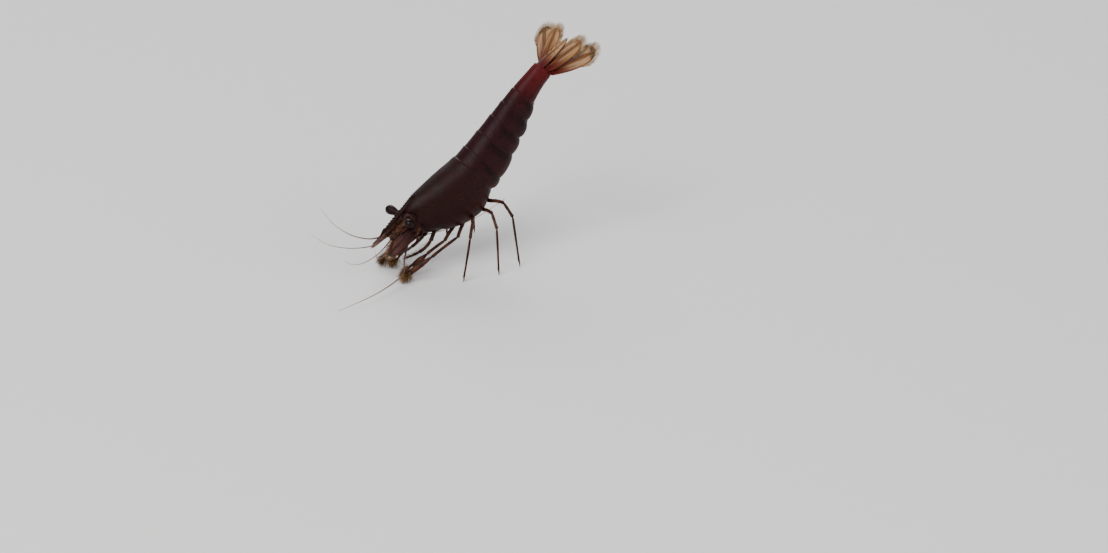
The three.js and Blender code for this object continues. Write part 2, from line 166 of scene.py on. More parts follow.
@dataclass(frozen=True)
class ShellProfile:
    """The dorsal line, lower edge and half-width of the shell along the body."""

    stations: tuple[Station, ...] = (
        Station(2.2, 2.1, -0.65, 1.2),
        Station(ORBIT, 2.26, -1.4, 1.42),
        Station(4.5, 2.34, -2.42, 1.8),
        Station(6.2, 2.04, -3.25, 2.15),
        Station(7.8, 1.72, -3.68, 2.3),
        Station(CARAPACE_REAR, 1.24, -3.36, 2.12),
        Station(12.7, 1.18, -2.82, 1.78),
        Station(15.5, 1.27, -2.27, 1.45),
        Station(17.6, 1.33, -1.5, 1.16),
        Station(19.8, 1.25, -0.89, 0.92),
        Station(21.4, 1.18, -0.8, 0.82),
    )

    def at(self, x: float) -> Station:
        """Smoothly interpolates the shell's size.

        Args:
            x: The place along the body.

        Returns:
            The size there.
        """
        places = [station.at for station in self.stations]
        last = len(places) - 2
        i = min(max(sum(1 for place in places if place <= x) - 1, 0), last)
        span = places[i + 1] - places[i]
        u = (x - places[i]) / span
        values = []
        for name in ("top", "edge", "half"):
            v = [getattr(station, name) for station in self.stations]
            slopes = []
            for j in (i, i + 1):
                before, after = max(j - 1, 0), min(j + 1, last + 1)
                slopes.append((v[after] - v[before]) / (places[after] - places[before]))
            h00, h10 = 2 * u**3 - 3 * u**2 + 1, u**3 - 2 * u**2 + u
            h01, h11 = 3 * u**2 - 2 * u**3, u**3 - u**2
            values.append(h00 * v[i] + h10 * span * slopes[0] + h01 * v[i + 1] + h11 * span * slopes[1])
        return Station(x, *values)


SHELL = ShellProfile()


def smooth(value: float, low: float, high: float) -> float:
    """An eased step from 0 at low to 1 at high."""
    u = min(max((value - low) / (high - low), 0.0), 1.0)
    return u * u * (3.0 - 2.0 * u)


def blend(a: float, b: float, u: float) -> float:
    """The value a share u of the way from a to b."""
    return a + (b - a) * u


@dataclass(frozen=True)
class Hump:
    """A rounded swelling or hollow: where its middle is, how wide it is and how high."""

    middle: float
    width: float
    height: float

    def at(self, value: float) -> float:
        """How high it is at a value."""
        return self.height * math.exp(-(((value - self.middle) / self.width) ** 2))


# ---- Modelling tools ----


@dataclass(frozen=True)
class Ring:
    """One ring of a sweep along x: its centre, half-width and half-height."""

    x: float
    z: float
    half: float
    rise: float


def alone(piece: bpy.types.Object) -> None:
    """Makes a piece the only one selected and active."""
    bpy.ops.object.select_all(action="DESELECT")
    piece.select_set(True)
    bpy.context.view_layer.objects.active = piece


def sweep(
    name: str, rings: Sequence[Ring], sides: int, section: Section = Section.CLOSED
) -> bpy.types.Object:
    """Extrudes a circle along x, resizing it at each ring.

    Args:
        name: The piece's name.
        rings: The rings from head to tail.
        sides: Vertices round the whole circle.
        section: Closed, or open below.

    Returns:
        The swept mesh in body millimetres.
    """
    first = rings[0]
    bpy.ops.object.select_all(action="DESELECT")
    fill = "NGON" if section is Section.CLOSED else "NOTHING"
    turned = (0.0, math.pi / 2, 0.0)
    bpy.ops.mesh.primitive_circle_add(vertices=sides, radius=1.0, fill_type=fill, rotation=turned)
    piece = bpy.context.object
    piece.name = piece.data.name = name
    bpy.ops.object.transform_apply(location=True, rotation=True, scale=True)
    bpy.ops.object.mode_set(mode="EDIT")
    if section is Section.ARCH:
        drop_below(piece, math.cos(EDGE_ANGLE) - 1e-3)
    bpy.ops.mesh.select_all(action="SELECT")
    bpy.ops.transform.resize(value=(1.0, first.half, first.rise), center_override=(0.0, 0.0, 0.0))
    bpy.ops.transform.translate(value=(first.x, 0.0, first.z))
    for last, ring in zip(rings, rings[1:]):
        step = (ring.x - last.x, 0.0, ring.z - last.z)
        bpy.ops.mesh.extrude_region_move(TRANSFORM_OT_translate={"value": step})
        grow = (1.0, ring.half / last.half, ring.rise / last.rise)
        bpy.ops.transform.resize(value=grow, center_override=(ring.x, 0.0, ring.z))
    bpy.ops.mesh.select_all(action="SELECT")
    bpy.ops.mesh.normals_make_consistent(inside=False)
    bpy.ops.object.mode_set(mode="OBJECT")
    return piece


def drop_below(piece: bpy.types.Object, height: float) -> None:
    """Deletes the vertices below a height, in edit mode."""
    bpy.ops.mesh.select_all(action="DESELECT")
    bpy.ops.object.mode_set(mode="OBJECT")
    for vertex in piece.data.vertices:
        vertex.select = vertex.co.z < height
    bpy.ops.object.mode_set(mode="EDIT")
    bpy.ops.mesh.delete(type="VERT")


def reshape(piece: bpy.types.Object, rule: Callable[[Vector], Vector]) -> None:
    """Moves each vertex by a rule, for the leans and bends that no operator gives without a window."""
    for vertex in piece.data.vertices:
        vertex.co = rule(vertex.co.copy())


def apply_modifier(piece: bpy.types.Object, kind: str, **settings: Any) -> None:
    """Adds a modifier with its settings and applies it."""
    alone(piece)
    modifier = piece.modifiers.new(kind.title(), kind)
    for name, value in settings.items():
        setattr(modifier, name, value)
    bpy.ops.object.modifier_apply(modifier=modifier.name)


def thicken(piece: bpy.types.Object, wall: float) -> None:
    """Gives an open shell a wall that grows inward, then rounds it."""
    apply_modifier(piece, "SOLIDIFY", thickness=wall, offset=-1.0, use_even_offset=True)
    apply_modifier(piece, "SUBSURF", levels=1, render_levels=1)


@dataclass
class Strand:
    """A round limb segment or feeler: points in body millimetres and the radius at each."""

    points: list[Vector]
    radii: list[float]


def rods(name: str, strands: Sequence[Strand], roundness: int = 3) -> bpy.types.Object:
    """Turns strands into closed round rods in one mesh, with an attribute that runs 0 to 1 along each.

    Args:
        name: The piece's name.
        strands: The segments or feelers.
        roundness: The bevel's resolution.

    Returns:
        The mesh in body millimetres.
    """
    bpy.ops.object.select_all(action="DESELECT")
    bpy.ops.curve.primitive_nurbs_path_add()
    piece = bpy.context.object
    piece.name = piece.data.name = name
    curve = piece.data
    curve.splines.clear()
    curve.dimensions = "3D"
    curve.bevel_depth = 1.0
    curve.bevel_resolution = roundness
    curve.use_fill_caps = True
    curve.twist_mode = "MINIMUM"
    shares: list[float] = []
    for strand in strands:
        spline = curve.splines.new("POLY")
        spline.points.add(len(strand.points) - 1)
        for i, (place, radius) in enumerate(zip(strand.points, strand.radii)):
            spline.points[i].co = (*place, 1.0)
            spline.points[i].radius = radius
            shares.append(i / (len(strand.points) - 1))
    bpy.ops.object.convert(target="MESH")
    piece = bpy.context.object
    piece.name = piece.data.name = name
    mesh = piece.data
    ring = len(mesh.vertices) // len(shares)
    last = len(shares) - 1
    run = mesh.attributes.new("run", "FLOAT", "POINT")
    run.data.foreach_set("value", [shares[min(i // ring, last)] for i in range(len(mesh.vertices))])
    return piece


def running_length(points: Sequence[Vector]) -> list[float]:
    """The distance run at each point, from the first."""
    lengths = [0.0]
    for p, q in zip(points, points[1:]):
        lengths.append(lengths[-1] + (q - p).length)
    return lengths


def route(points: Sequence[Vector], steps: int) -> list[Vector]:
    """Points spaced evenly along a smooth curve through the given ones.

    Args:
        points: The points that the curve passes through.
        steps: How many stretches to return.

    Returns:
        The spaced points, ends included.
    """
    fine: list[Vector] = []
    padded = [points[0] * 2 - points[1], *points, points[-1] * 2 - points[-2]]
    for a, b, c, d in zip(padded, padded[1:], padded[2:], padded[3:]):
        for k in range(ROUTE_CELLS):
            u = k / ROUTE_CELLS
            square = (a * 2 - b * 5 + c * 4 - d) * (0.5 * u * u)
            cube = (b * 3 - a - c * 3 + d) * (0.5 * u**3)
            fine.append(b + (c - a) * (0.5 * u) + square + cube)
    fine.append(points[-1].copy())
    lengths = running_length(fine)
    spaced = []
    j = 0
    for i in range(steps + 1):
        goal = lengths[-1] * i / steps
        while j < len(lengths) - 2 and lengths[j + 1] < goal:
            j += 1
        stretch = max(lengths[j + 1] - lengths[j], 1e-9)
        spaced.append(fine[j].lerp(fine[j + 1], min((goal - lengths[j]) / stretch, 1.0)))
    return spaced


def segment(start: Vector, end: Vector, near: float, far: float, bow: Vector | None = None) -> Strand:
    """One limb segment: waisted where it enters the last joint, and flared round the next.

    Args:
        start: Where it begins.
        end: Where it ends.
        near: Radius near its start.
        far: Radius near its end.
        bow: How far its middle is pushed aside.

    Returns:
        The strand.
    """
    points, radii = [], []
    for share, swell in SEGMENT_SHAPE:
        place = start.lerp(end, share)
        if bow is not None:
            place += bow * (4 * share * (1 - share))
        points.append(place)
        radii.append(blend(near, far, share) * swell)
    points.append(end + (end - start).normalized() * far * 0.25)
    radii.append(far * 0.6)
    return Strand(points, radii)


def join(name: str, pieces: Sequence[bpy.types.Object]) -> bpy.types.Object:
    """Joins meshes into one.

    Args:
        name: The joined piece's name.
        pieces: The meshes.

    Returns:
        The joined mesh.
    """
    alone(pieces[0])
    for piece in pieces[1:]:
        piece.select_set(True)
    if len(pieces) > 1:
        bpy.ops.object.join()
    pieces[0].name = pieces[0].data.name = name
    return pieces[0]


def settle(
    piece: bpy.types.Object, slot: str, finish: "Finish", nodes: Iterable[str] = ()
) -> bpy.types.Object:
    """Args:
        piece: The piece.
        slot: The record's material slot. Not used.
        finish: What it is dressed in.
        nodes: The CAD nodes that it stands for.

    Returns:
        The same piece.
    """
    alone(piece)
    bpy.ops.object.shade_smooth_by_angle(angle=SMOOTH_ANGLE)
    piece.matrix_world = STANCE.matrix() @ piece.matrix_world
    bpy.ops.object.transform_apply(location=True, rotation=True, scale=True)
    piece.data.materials.clear()
    piece.data.materials.append(finish.material())
    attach(piece, "root")
    names = list(nodes)
    if names:
        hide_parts(*names)
    LOG.info("%s: %d faces", piece.name, len(piece.data.polygons))
    return piece


# ---- Materials ----


def tint(code: str) -> tuple[float, float, float, float]:
    """A hexadecimal colour as linear red, green, blue and one."""
    parts = [int(code[i : i + 2], 16) / 255 for i in (0, 2, 4)]
    linear = [c / 12.92 if c <= 0.04045 else ((c + 0.055) / 1.055) ** 2.4 for c in parts]
    return (*linear, 1.0)


@dataclass(frozen=True)
class Mask:
    """A value that changes over a surface. Arithmetic on it adds Math nodes."""

    graph: "Graph"
    socket: bpy.types.NodeSocket

    def _math(self, operation: str, first: Any, second: Any) -> "Mask":
        """Adds one Math node."""
        node = self.graph.node("ShaderNodeMath", {"operation": operation}, {0: first, 1: second})
        return Mask(self.graph, node.outputs[0])

    def __add__(self, other: Any) -> "Mask":
        """Sum."""
        return self._math("ADD", self, other)

    def __radd__(self, other: Any) -> "Mask":
        """Sum, from the right."""
        return self._math("ADD", other, self)

    def __sub__(self, other: Any) -> "Mask":
        """Difference."""
        return self._math("SUBTRACT", self, other)

    def __rsub__(self, other: Any) -> "Mask":
        """Difference, from the right."""
        return self._math("SUBTRACT", other, self)

    def __mul__(self, other: Any) -> "Mask":
        """Product."""
        return self._math("MULTIPLY", self, other)

    def __rmul__(self, other: Any) -> "Mask":
        """Product, from the right."""
        return self._math("MULTIPLY", other, self)

    def __truediv__(self, other: Any) -> "Mask":
        """Quotient."""
        return self._math("DIVIDE", self, other)

    def __abs__(self) -> "Mask":
        """Absolute value."""
        return self._math("ABSOLUTE", self, 0.0)

    def step(self, low: float, high: float) -> "Mask":
        """Eased from 0 at low to 1 at high, or down where low is the greater.

        Args:
            low: The value that gives 0.
            high: The value that gives 1.

        Returns:
            The mask.
        """
        settings = {"interpolation_type": "SMOOTHSTEP"}
        if low < high:
            inputs = {"Value": self, "From Min": low, "From Max": high}
        else:
            inputs = {"Value": self, "From Min": high, "From Max": low, "To Min": 1.0, "To Max": 0.0}
        return Mask(self.graph, self.graph.node("ShaderNodeMapRange", settings, inputs).outputs[0])


class Graph:
    """A material's node tree, with a Principled shader to feed."""

    def __init__(self, name: str, **fixed: Any) -> None:
        """Makes the material and sets the shader's fixed values.

        Args:
            name: The material's name.
            fixed: Socket names, with _ for a space, and their values.
        """
        self.material = bpy.data.materials.new(name)
        self.material.use_nodes = True
        self.tree = self.material.node_tree
        self.tree.nodes.clear()
        out = self.tree.nodes.new("ShaderNodeOutputMaterial")
        self.shader = self.tree.nodes.new("ShaderNodeBsdfPrincipled")
        self.tree.links.new(self.shader.outputs[0], out.inputs[0])
        for key, value in fixed.items():
            self.shader.inputs[key.replace("_", " ")].default_value = value

    def node(self, kind: str, settings: dict[str, Any], inputs: dict[Any, Any]) -> bpy.types.Node:
        """Adds a node.

        Args:
            kind: Its type.
            settings: Its properties, set first. stops holds a ramp's places and colours.
            inputs: Values or links by socket name or number.

        Returns:
            The node.
        """
        made = self.tree.nodes.new(kind)
        for name, value in settings.items():
            if name == "stops":
                self._set_stops(made.color_ramp, value)
            else:
                setattr(made, name, value)
        for key, value in inputs.items():
            self._feed(made.inputs[key], value)
        return made

    def _set_stops(self, ramp: bpy.types.ColorRamp, stops: Sequence[tuple[float, Any]]) -> None:
        """Gives a ramp its places and colours."""
        while len(ramp.elements) > 1:
            ramp.elements.remove(ramp.elements[-1])
        for i, (place, colour) in enumerate(stops):
            element = ramp.elements[0] if i == 0 else ramp.elements.new(place)
            element.position = place
            element.color = colour

    def _feed(self, socket: bpy.types.NodeSocket, value: Any) -> None:
        """Links a socket to a value's own, or sets it."""
        source = value.socket if isinstance(value, Mask) else value
        if isinstance(source, bpy.types.NodeSocket):
            self.tree.links.new(source, socket)
        else:
            socket.default_value = source

    def feed(self, name: str, value: Any) -> None:
        """Links or sets one of the shader's sockets."""
        self._feed(self.shader.inputs[name], value)

    def mix(self, factor: Any, a: Any, b: Any, way: str = "MIX") -> bpy.types.NodeSocket:
        """Mixes two colours.

        Args:
            factor: The share of b.
            a: The first colour.
            b: The second colour.
            way: The blend type.

        Returns:
            The colour's socket.
        """
        settings = {"data_type": "RGBA", "blend_type": way}
        node = self.node("ShaderNodeMix", settings, {0: factor, 6: a, 7: b})
        return node.outputs[2]

    def place(self) -> bpy.types.NodeSocket:
        """The point in the body's own axes, in millimetres."""
        coordinates = self.node("ShaderNodeTexCoord", {}, {})
        moved = Matrix.Rotation(PITCH, 3, "Y") @ -Vector(STANCE.origin)
        inputs = {
            "Vector": coordinates.outputs["Object"],
            "Scale": (1 / MM, 1 / MM, 1 / MM),
            "Rotation": (0.0, PITCH, 0.0),
            "Location": tuple(moved),
        }
        return self.node("ShaderNodeMapping", {"vector_type": "POINT"}, inputs).outputs[0]

    def axes(self, place: bpy.types.NodeSocket) -> tuple[Mask, Mask, Mask]:
        """Splits a vector into its three values."""
        node = self.node("ShaderNodeSeparateXYZ", {}, {0: place})
        return tuple(Mask(self, output) for output in node.outputs)

    def noise(self, place: Any, scale: float, detail: float = 3.0) -> Mask:
        """Soft cloudy noise, about 0.3 to 0.7."""
        inputs = {"Vector": place, "Scale": scale, "Detail": detail}
        return Mask(self, self.node("ShaderNodeTexNoise", {}, inputs).outputs[0])

    def dots(self, place: Any, scale: float) -> Mask:
        """Distance from the nearest of many scattered points."""
        inputs = {"Vector": place, "Scale": scale}
        return Mask(self, self.node("ShaderNodeTexVoronoi", {}, inputs).outputs[0])

    def ramp(self, value: Mask, stops: Sequence[tuple[float, Any]]) -> bpy.types.NodeSocket:
        """A colour looked up along a value."""
        return self.node("ShaderNodeValToRGB", {"stops": stops}, {0: value}).outputs[0]

    def attribute(self, name: str) -> Mask:
        """A number stored on the mesh."""
        return Mask(self, self.node("ShaderNodeAttribute", {"attribute_name": name}, {}).outputs["Fac"])

    def bump(self, height: Mask, depth: float) -> None:
        """Feeds Normal from a height, with its depth in millimetres."""
        inputs = {"Height": height, "Distance": depth * MM}
        self.feed("Normal", self.node("ShaderNodeBump", {}, inputs).outputs[0])


class Finish:
    """A surface's look. Its material is made once and kept."""

    _made: dict[str, bpy.types.Material] = {}

    def material(self) -> bpy.types.Material:
        """The finished material."""
        key = type(self).__name__ + repr(self)
        if key not in Finish._made:
            Finish._made[key] = self.dress()
        return Finish._made[key]

    def dress(self) -> bpy.types.Material:
        """Builds the node tree."""
        raise NotImplementedError


@dataclass(frozen=True)
class ShellFinish(Finish):
    """Wet shell: maroon brown, redder to the tail and low down, with dark bands and fine specks."""

    brown: str = "22100f"
    olive: str = "1f1813"
    maroon: str = "250e11"
    wine: str = "3d0f13"
    rust: str = "4c1214"
    band: str = "100709"
    edge: str = "3f1811"
    speck: str = "5c261b"

    def dress(self) -> bpy.types.Material:
        """Builds the node tree."""
        graph = Graph("wet_shell", Roughness=0.35, IOR=1.16)
        place = graph.place()
        x, _, z = graph.axes(place)
        along = x / BODY_LENGTH
        hues = [
            (0.0, tint(self.maroon)),
            (ORBIT / BODY_LENGTH, tint(self.brown)),
            (8.5 / BODY_LENGTH, tint(self.brown)),
            (11.5 / BODY_LENGTH, tint(self.maroon)),
            (17.0 / BODY_LENGTH, tint(self.maroon)),
            (19.0 / BODY_LENGTH, tint(self.wine)),
            (21.0 / BODY_LENGTH, tint(self.rust)),
        ]
        colour = graph.ramp(along, hues)
        cloud = graph.noise(place, 0.7)
        top = z.step(0.2, 2.2) * x.step(11.0, 7.0) * cloud.step(0.35, 0.6)
        colour = graph.mix(top * 0.8, colour, tint(self.olive))
        colour = graph.mix(self.bands(graph, x, z, cloud), colour, tint(self.band))
        low = z.step(-0.6, -3.4) * graph.noise(place, 1.8).step(0.35, 0.6)
        colour = graph.mix(low * 0.55, colour, tint(self.edge))
        mottle = graph.noise(place, 2.6, 5.0)
        colour = graph.mix(mottle.step(0.5, 0.72) * 0.5, colour, tint(self.band))
        specks = graph.dots(place, 8.0).step(0.3, 0.12) * graph.noise(place, 1.3).step(0.42, 0.6)
        colour = graph.mix(specks * 0.55, colour, tint(self.speck))
        graph.feed("Base Color", colour)
        graph.feed("Roughness", 0.3 + mottle * 0.2)
        pits = graph.dots(place, 9.0).step(0.0, 0.35)
        graph.bump(pits * 0.3 + graph.noise(place, 6.0, 4.0) * 0.8 + cloud * 0.8, 0.024)
        return graph.material

    def bands(self, graph: Graph, x: Mask, z: Mask, cloud: Mask) -> Mask:
        """A dark band across the rear of each tergite, fading over the back.

        Args:
            graph: The node tree.
            x: Place along the body.
            z: Height in the body's axes.
            cloud: Noise that breaks the bands up.

        Returns:
            The bands' mask.
        """
        black, white = (0.0, 0.0, 0.0, 1.0), (1.0, 1.0, 1.0, 1.0)
        stops = [(0.0, black)]
        rear = CARAPACE_REAR
        for length in SOMITE_LENGTHS:
            rear += length
            for back, colour in ((0.95, black), (0.55, white), (0.18, white), (0.02, black)):
                stops.append(((rear - back) / BODY_LENGTH, colour))
        stripe = Mask(graph, graph.ramp((x + (cloud - 0.5) * 0.5) / BODY_LENGTH, stops))
        return stripe * z.step(1.5, -0.3) * cloud.step(0.3, 0.5) * 0.75


@dataclass(frozen=True)
class LimbFinish(Finish):
    """Limbs and feelers: reddish brown, darker at the joints and paler and clearer to the tips."""

    deep: str = "26110d"
    pale: str = "4b2a19"
    dark: str = "150908"

    def dress(self) -> bpy.types.Material:
        """Builds the node tree."""
        graph = Graph("limb_shell", Roughness=0.36, IOR=1.2)
        place = graph.place()
        run = graph.attribute("run")
        cloud = graph.noise(place, 2.2, 4.0)
        colour = graph.mix(cloud.step(0.35, 0.65), tint(self.deep), tint(self.pale))
        ends = run.step(0.12, 0.0) + run.step(0.86, 1.0)
        colour = graph.mix(ends * 0.7, colour, tint(self.dark))
        specks = graph.dots(place, 7.0).step(0.22, 0.1)
        colour = graph.mix(specks * 0.5, colour, tint(self.dark))
        graph.feed("Base Color", colour)
        graph.feed("Alpha", 1.0 - cloud.step(0.45, 0.7) * 0.12)
        graph.bump(graph.noise(place, 9.0), 0.02)
        return graph.material


@dataclass(frozen=True)
class FeelerFinish(Finish):
    """Long feelers: ringed in brown, paling toward the tip."""

    root: str = "40190f"
    tip: str = "8f6a4e"
    ring: str = "28110d"

    def dress(self) -> bpy.types.Material:
        """Builds the node tree."""
        graph = Graph("feeler_shell", Roughness=0.4)
        place = graph.place()
        run = graph.attribute("run")
        colour = graph.mix(run.step(0.0, 0.8), tint(self.root), tint(self.tip))
        rings = graph.noise(place, 1.6, 2.0).step(0.5, 0.6)
        colour = graph.mix(rings * 0.6, colour, tint(self.ring))
        graph.feed("Base Color", colour)
        graph.feed("Alpha", 1.0 - run.step(0.2, 1.0) * 0.35)
        return graph.material


@dataclass(frozen=True)
class FanFinish(Finish):
    """Thin blades: clear amber with brown rays that spread from the root, and a dark blot near the tip."""

    amber: str = "a2794c"
    ray: str = "4a220e"
    rim: str = "5a221a"
    blot: str = "30261c"
    root: str = "4a1512"
    thin: float = 0.25
    blotted: float = 0.8

    def dress(self) -> bpy.types.Material:
        """Builds the node tree."""
        graph = Graph("fan_blade", Roughness=0.38, IOR=1.18)
        uv = graph.node("ShaderNodeUVMap", {"uv_map": "grain"}, {}).outputs[0]
        along, across, _ = graph.axes(uv)
        stretch = graph.node("ShaderNodeVectorMath", {"operation": "MULTIPLY"}, {0: uv, 1: (1.2, 14.0, 1.0)})
        streak = graph.noise(stretch.outputs[0], 1.0, 3.0)
        side = abs(across - 0.5)
        rays = streak.step(0.45, 0.58) * 0.85
        midrib = side.step(0.09, 0.03)
        colour = graph.mix(rays, tint(self.amber), tint(self.ray))
        colour = graph.mix(midrib * 0.75, colour, tint(self.ray))
        colour = graph.mix(side.step(0.42, 0.49) * 0.85, colour, tint(self.rim))
        colour = graph.mix(along.step(0.5, 0.06), colour, tint(self.root))
        blot = along.step(0.66, 0.78) * along.step(0.97, 0.86) * graph.noise(uv, 5.0).step(0.35, 0.5)
        colour = graph.mix(blot * self.blotted, colour, tint(self.blot))
        graph.feed("Base Color", colour)
        solid = rays * 0.5 + midrib * 0.8 + side.step(0.43, 0.5) * 0.5 + along.step(0.35, 0.0) + blot * 0.6
        graph.feed("Alpha", 1.0 - (1.0 - solid.step(0.0, 1.0)) * self.thin)
        graph.bump(streak + midrib * 0.8, 0.03)
        return graph.material


@dataclass(frozen=True)
class FleshFinish(Finish):
    """Soft skin between the plates and under the body."""

    pink: str = "341915"
    shade: str = "1e0f0e"

    def dress(self) -> bpy.types.Material:
        """Builds the node tree."""
        graph = Graph("soft_skin", Roughness=0.5, IOR=1.2)
        place = graph.place()
        cloud = graph.noise(place, 3.0, 4.0)
        graph.feed("Base Color", graph.mix(cloud.step(0.35, 0.65), tint(self.pink), tint(self.shade)))
        graph.bump(graph.noise(place, 7.0), 0.03)
        return graph.material


@dataclass(frozen=True)
class EyeFinish(Finish):
    """The faceted cornea over dark pigment, with a faint lighter bloom at the front."""

    pigment: str = "0c0605"
    bloom: str = "2a1612"

    def dress(self) -> bpy.types.Material:
        """Builds the node tree."""
        graph = Graph("cornea", Roughness=0.2, IOR=1.22)
        place = graph.place()
        facets = graph.dots(place, 24.0)
        cloud = graph.noise(place, 3.0)
        graph.feed("Base Color", graph.mix(cloud.step(0.45, 0.7) * 0.6, tint(self.pigment), tint(self.bloom)))
        graph.bump(facets.step(0.45, 0.1), 0.0015)
        return graph.material


@dataclass(frozen=True)
class BristleFinish(Finish):
    """Fine bristles: golden horn, browner in patches."""

    horn: str = "80603a"
    brown: str = "4c3020"
    solid: float = 0.85

    def dress(self) -> bpy.types.Material:
        """Builds the node tree."""
        graph = Graph("bristle_horn", Roughness=0.5, IOR=1.25, Alpha=self.solid)
        cloud = graph.noise(graph.place(), 1.5)
        graph.feed("Base Color", graph.mix(cloud.step(0.4, 0.6), tint(self.horn), tint(self.brown)))
        return graph.material


@dataclass(frozen=True)
class StudioFinish(Finish):
    """The pale matt floor."""

    paper: str = "d9d6d4"

    def dress(self) -> bpy.types.Material:
        """Builds the node tree."""
        graph = Graph("studio_floor", Roughness=0.85)
        graph.feed("Base Color", tint(self.paper))
        return graph.material


# ---- Shell ----


@dataclass
class Carapace:
    """The shield over head and thorax, with its orbit, cheek spine and rolled rear rim."""

    wall: float = 0.11
    sides: int = 72
    steps: int = 16
    overlap: float = 0.12
    rear_rise: float = 0.35
    front_lean: float = 0.08
    rear_lean: float = -0.06
    rim: float = 0.03
    hug: float = 0.03
    cheek: float = 0.32
    orbit: Hump = Hump(0.62, 0.33, 0.42)
    spine: Hump = Hump(1.28, 0.13, 0.34)
    groove: Hump = Hump(0.27, 0.035, 0.05)
    finish: Finish = field(default_factory=ShellFinish)

    def build(self) -> bpy.types.Object:
        """Sweeps the shield and shapes its margins.

        Returns:
            The carapace in body millimetres.
        """
        rings = []
        for i in range(self.steps + 1):
            u = i / self.steps
            x = blend(ORBIT, CARAPACE_REAR + self.overlap, u)
            size = SHELL.at(x)
            low = size.edge + self.rear_rise * u**6
            rise = (size.top - low) / (1 - math.cos(EDGE_ANGLE))
            swell = (-0.06 if i == 0 else 0.02) + self.rim * u**6
            rings.append(Ring(x, size.top - rise, size.half + swell, rise + swell))
        piece = sweep("carapace_shield", rings, self.sides, Section.ARCH)
        reshape(piece, self.margin)
        thicken(piece, self.wall)
        return piece

    def margin(self, place: Vector) -> Vector:
        """Leans both ends, hollows the orbit and draws out the cheek spine.

        Args:
            place: A vertex.

        Returns:
            Where it goes.
        """
        u = (place.x - ORBIT) / (CARAPACE_REAR - ORBIT)
        size = SHELL.at(place.x)
        drop = size.top - place.z
        lean = blend(self.front_lean, self.rear_lean, u) * drop
        front = smooth(u, 0.22, 0.0)
        orbit = self.orbit.at(drop) * front
        spine = self.spine.at(drop) * smooth(u, 0.1, 0.0)
        cheek = self.cheek * smooth(drop, 2.9, 3.7) * front
        groove = self.groove.at(u - 0.06 * drop) * smooth(drop, 0.4, 1.2)
        hug = self.hug * smooth(drop, 1.5, 3.5) * smooth(u, 0.85, 1.0)
        outward = Vector((0.0, place.y, place.z - (size.top + size.edge) / 2)).normalized()
        return place + Vector((lean + orbit - spine + cheek, 0.0, 0.0)) - outward * (groove + hug)

    def dress(self, piece: bpy.types.Object) -> None:
        """Settles and dresses the shield."""
        settle(piece, "shell", self.finish, ["carapace"])


@dataclass
class Tergite:
    """One plate ring of the pleon with its two side lobes.

    Each swell is a share of the plate's open part, or of its tuck where it is under 0, and how far the
    ring there stands out from the shell's profile.
    """

    index: int
    wall: float = 0.08
    sides: int = 72
    tuck: float = 0.4
    scallop: float = 0.42
    tuck_drop: float = 0.65
    saddle_drop: float = 0.1
    saddle_out: float = 0.17
    saddle_spread: float = 0.85
    side_hug: float = 0.03
    low_hug: float = 0.06
    back: float = 0.12
    swells: tuple[tuple[float, float], ...] = (
        (-1.0, -0.085),
        (-0.3, -0.055),
        (0.0, -0.038),
        (0.15, -0.02),
        (0.4, 0.0),
        (0.7, 0.01),
        (0.9, 0.03),
        (1.0, 0.03),
    )
    finish: Finish = field(default_factory=ShellFinish)

    @property
    def saddle(self) -> bool:
        """Whether this is the second plate, whose lobes lie over both neighbours."""
        return self.index == 1

    @property
    def span(self) -> tuple[float, float]:
        """Where the plate's open part starts and ends."""
        start = CARAPACE_REAR + sum(SOMITE_LENGTHS[: self.index])
        return start, start + SOMITE_LENGTHS[self.index]

    def build(self) -> bpy.types.Object:
        """Sweeps the plate from under its neighbour's rim to its own.

        Returns:
            The plate in body millimetres.
        """
        start, end = self.span
        lower = self.saddle_drop if self.saddle else 0.0
        rings = []
        for u, swell in self.swells:
            x = start + self.tuck * u if u < 0 else blend(start, end, u)
            size = SHELL.at(x)
            share = max(u, 0.0)
            hidden = 1.0 + self.tuck_drop * min(u, 0.0)
            low = size.edge + self.scallop * hidden * (2 * share - 1) ** 4 - lower
            rise = (size.top - low) / (1 - math.cos(EDGE_ANGLE))
            rings.append(Ring(x, size.top - rise, size.half + swell, rise + swell))
        piece = sweep(f"tergite_{self.index + 1}", rings, self.sides, Section.ARCH)
        reshape(piece, self.lobes)
        thicken(piece, self.wall)
        return piece

    def lobes(self, place: Vector) -> Vector:
        """Spreads the second plate's side lobes over its neighbours, and rounds every lobe.

        Args:
            place: A vertex.

        Returns:
            Where it goes.
        """
        start, end = self.span
        u = (place.x - start) / (end - start)
        share = max(u, 0.0)
        size = SHELL.at(place.x)
        down = (size.top - place.z) / (size.top - size.edge)
        side = smooth(down, 0.35, 0.85)
        away = 1.0 if place.y > 0 else -1.0
        closed = self.side_hug * smooth(down, 0.1, 0.4) + self.low_hug * smooth(down, 0.5, 0.9)
        hug = closed * smooth(u, 0.7, 1.0)
        if self.saddle:
            out = self.saddle_out * side * (1.0 - share) - hug
            return place + Vector(((share - 0.5) * self.saddle_spread * side, out * away, 0.0))
        back = self.back * smooth(down, 0.3, 1.0) * share
        return place + Vector((back, -hug * away, 0.0))

    def dress(self, piece: bpy.types.Object) -> None:
        """Settles and dresses the plate."""
        settle(piece, "shell", self.finish, [f"pleon_{self.index + 1}"])


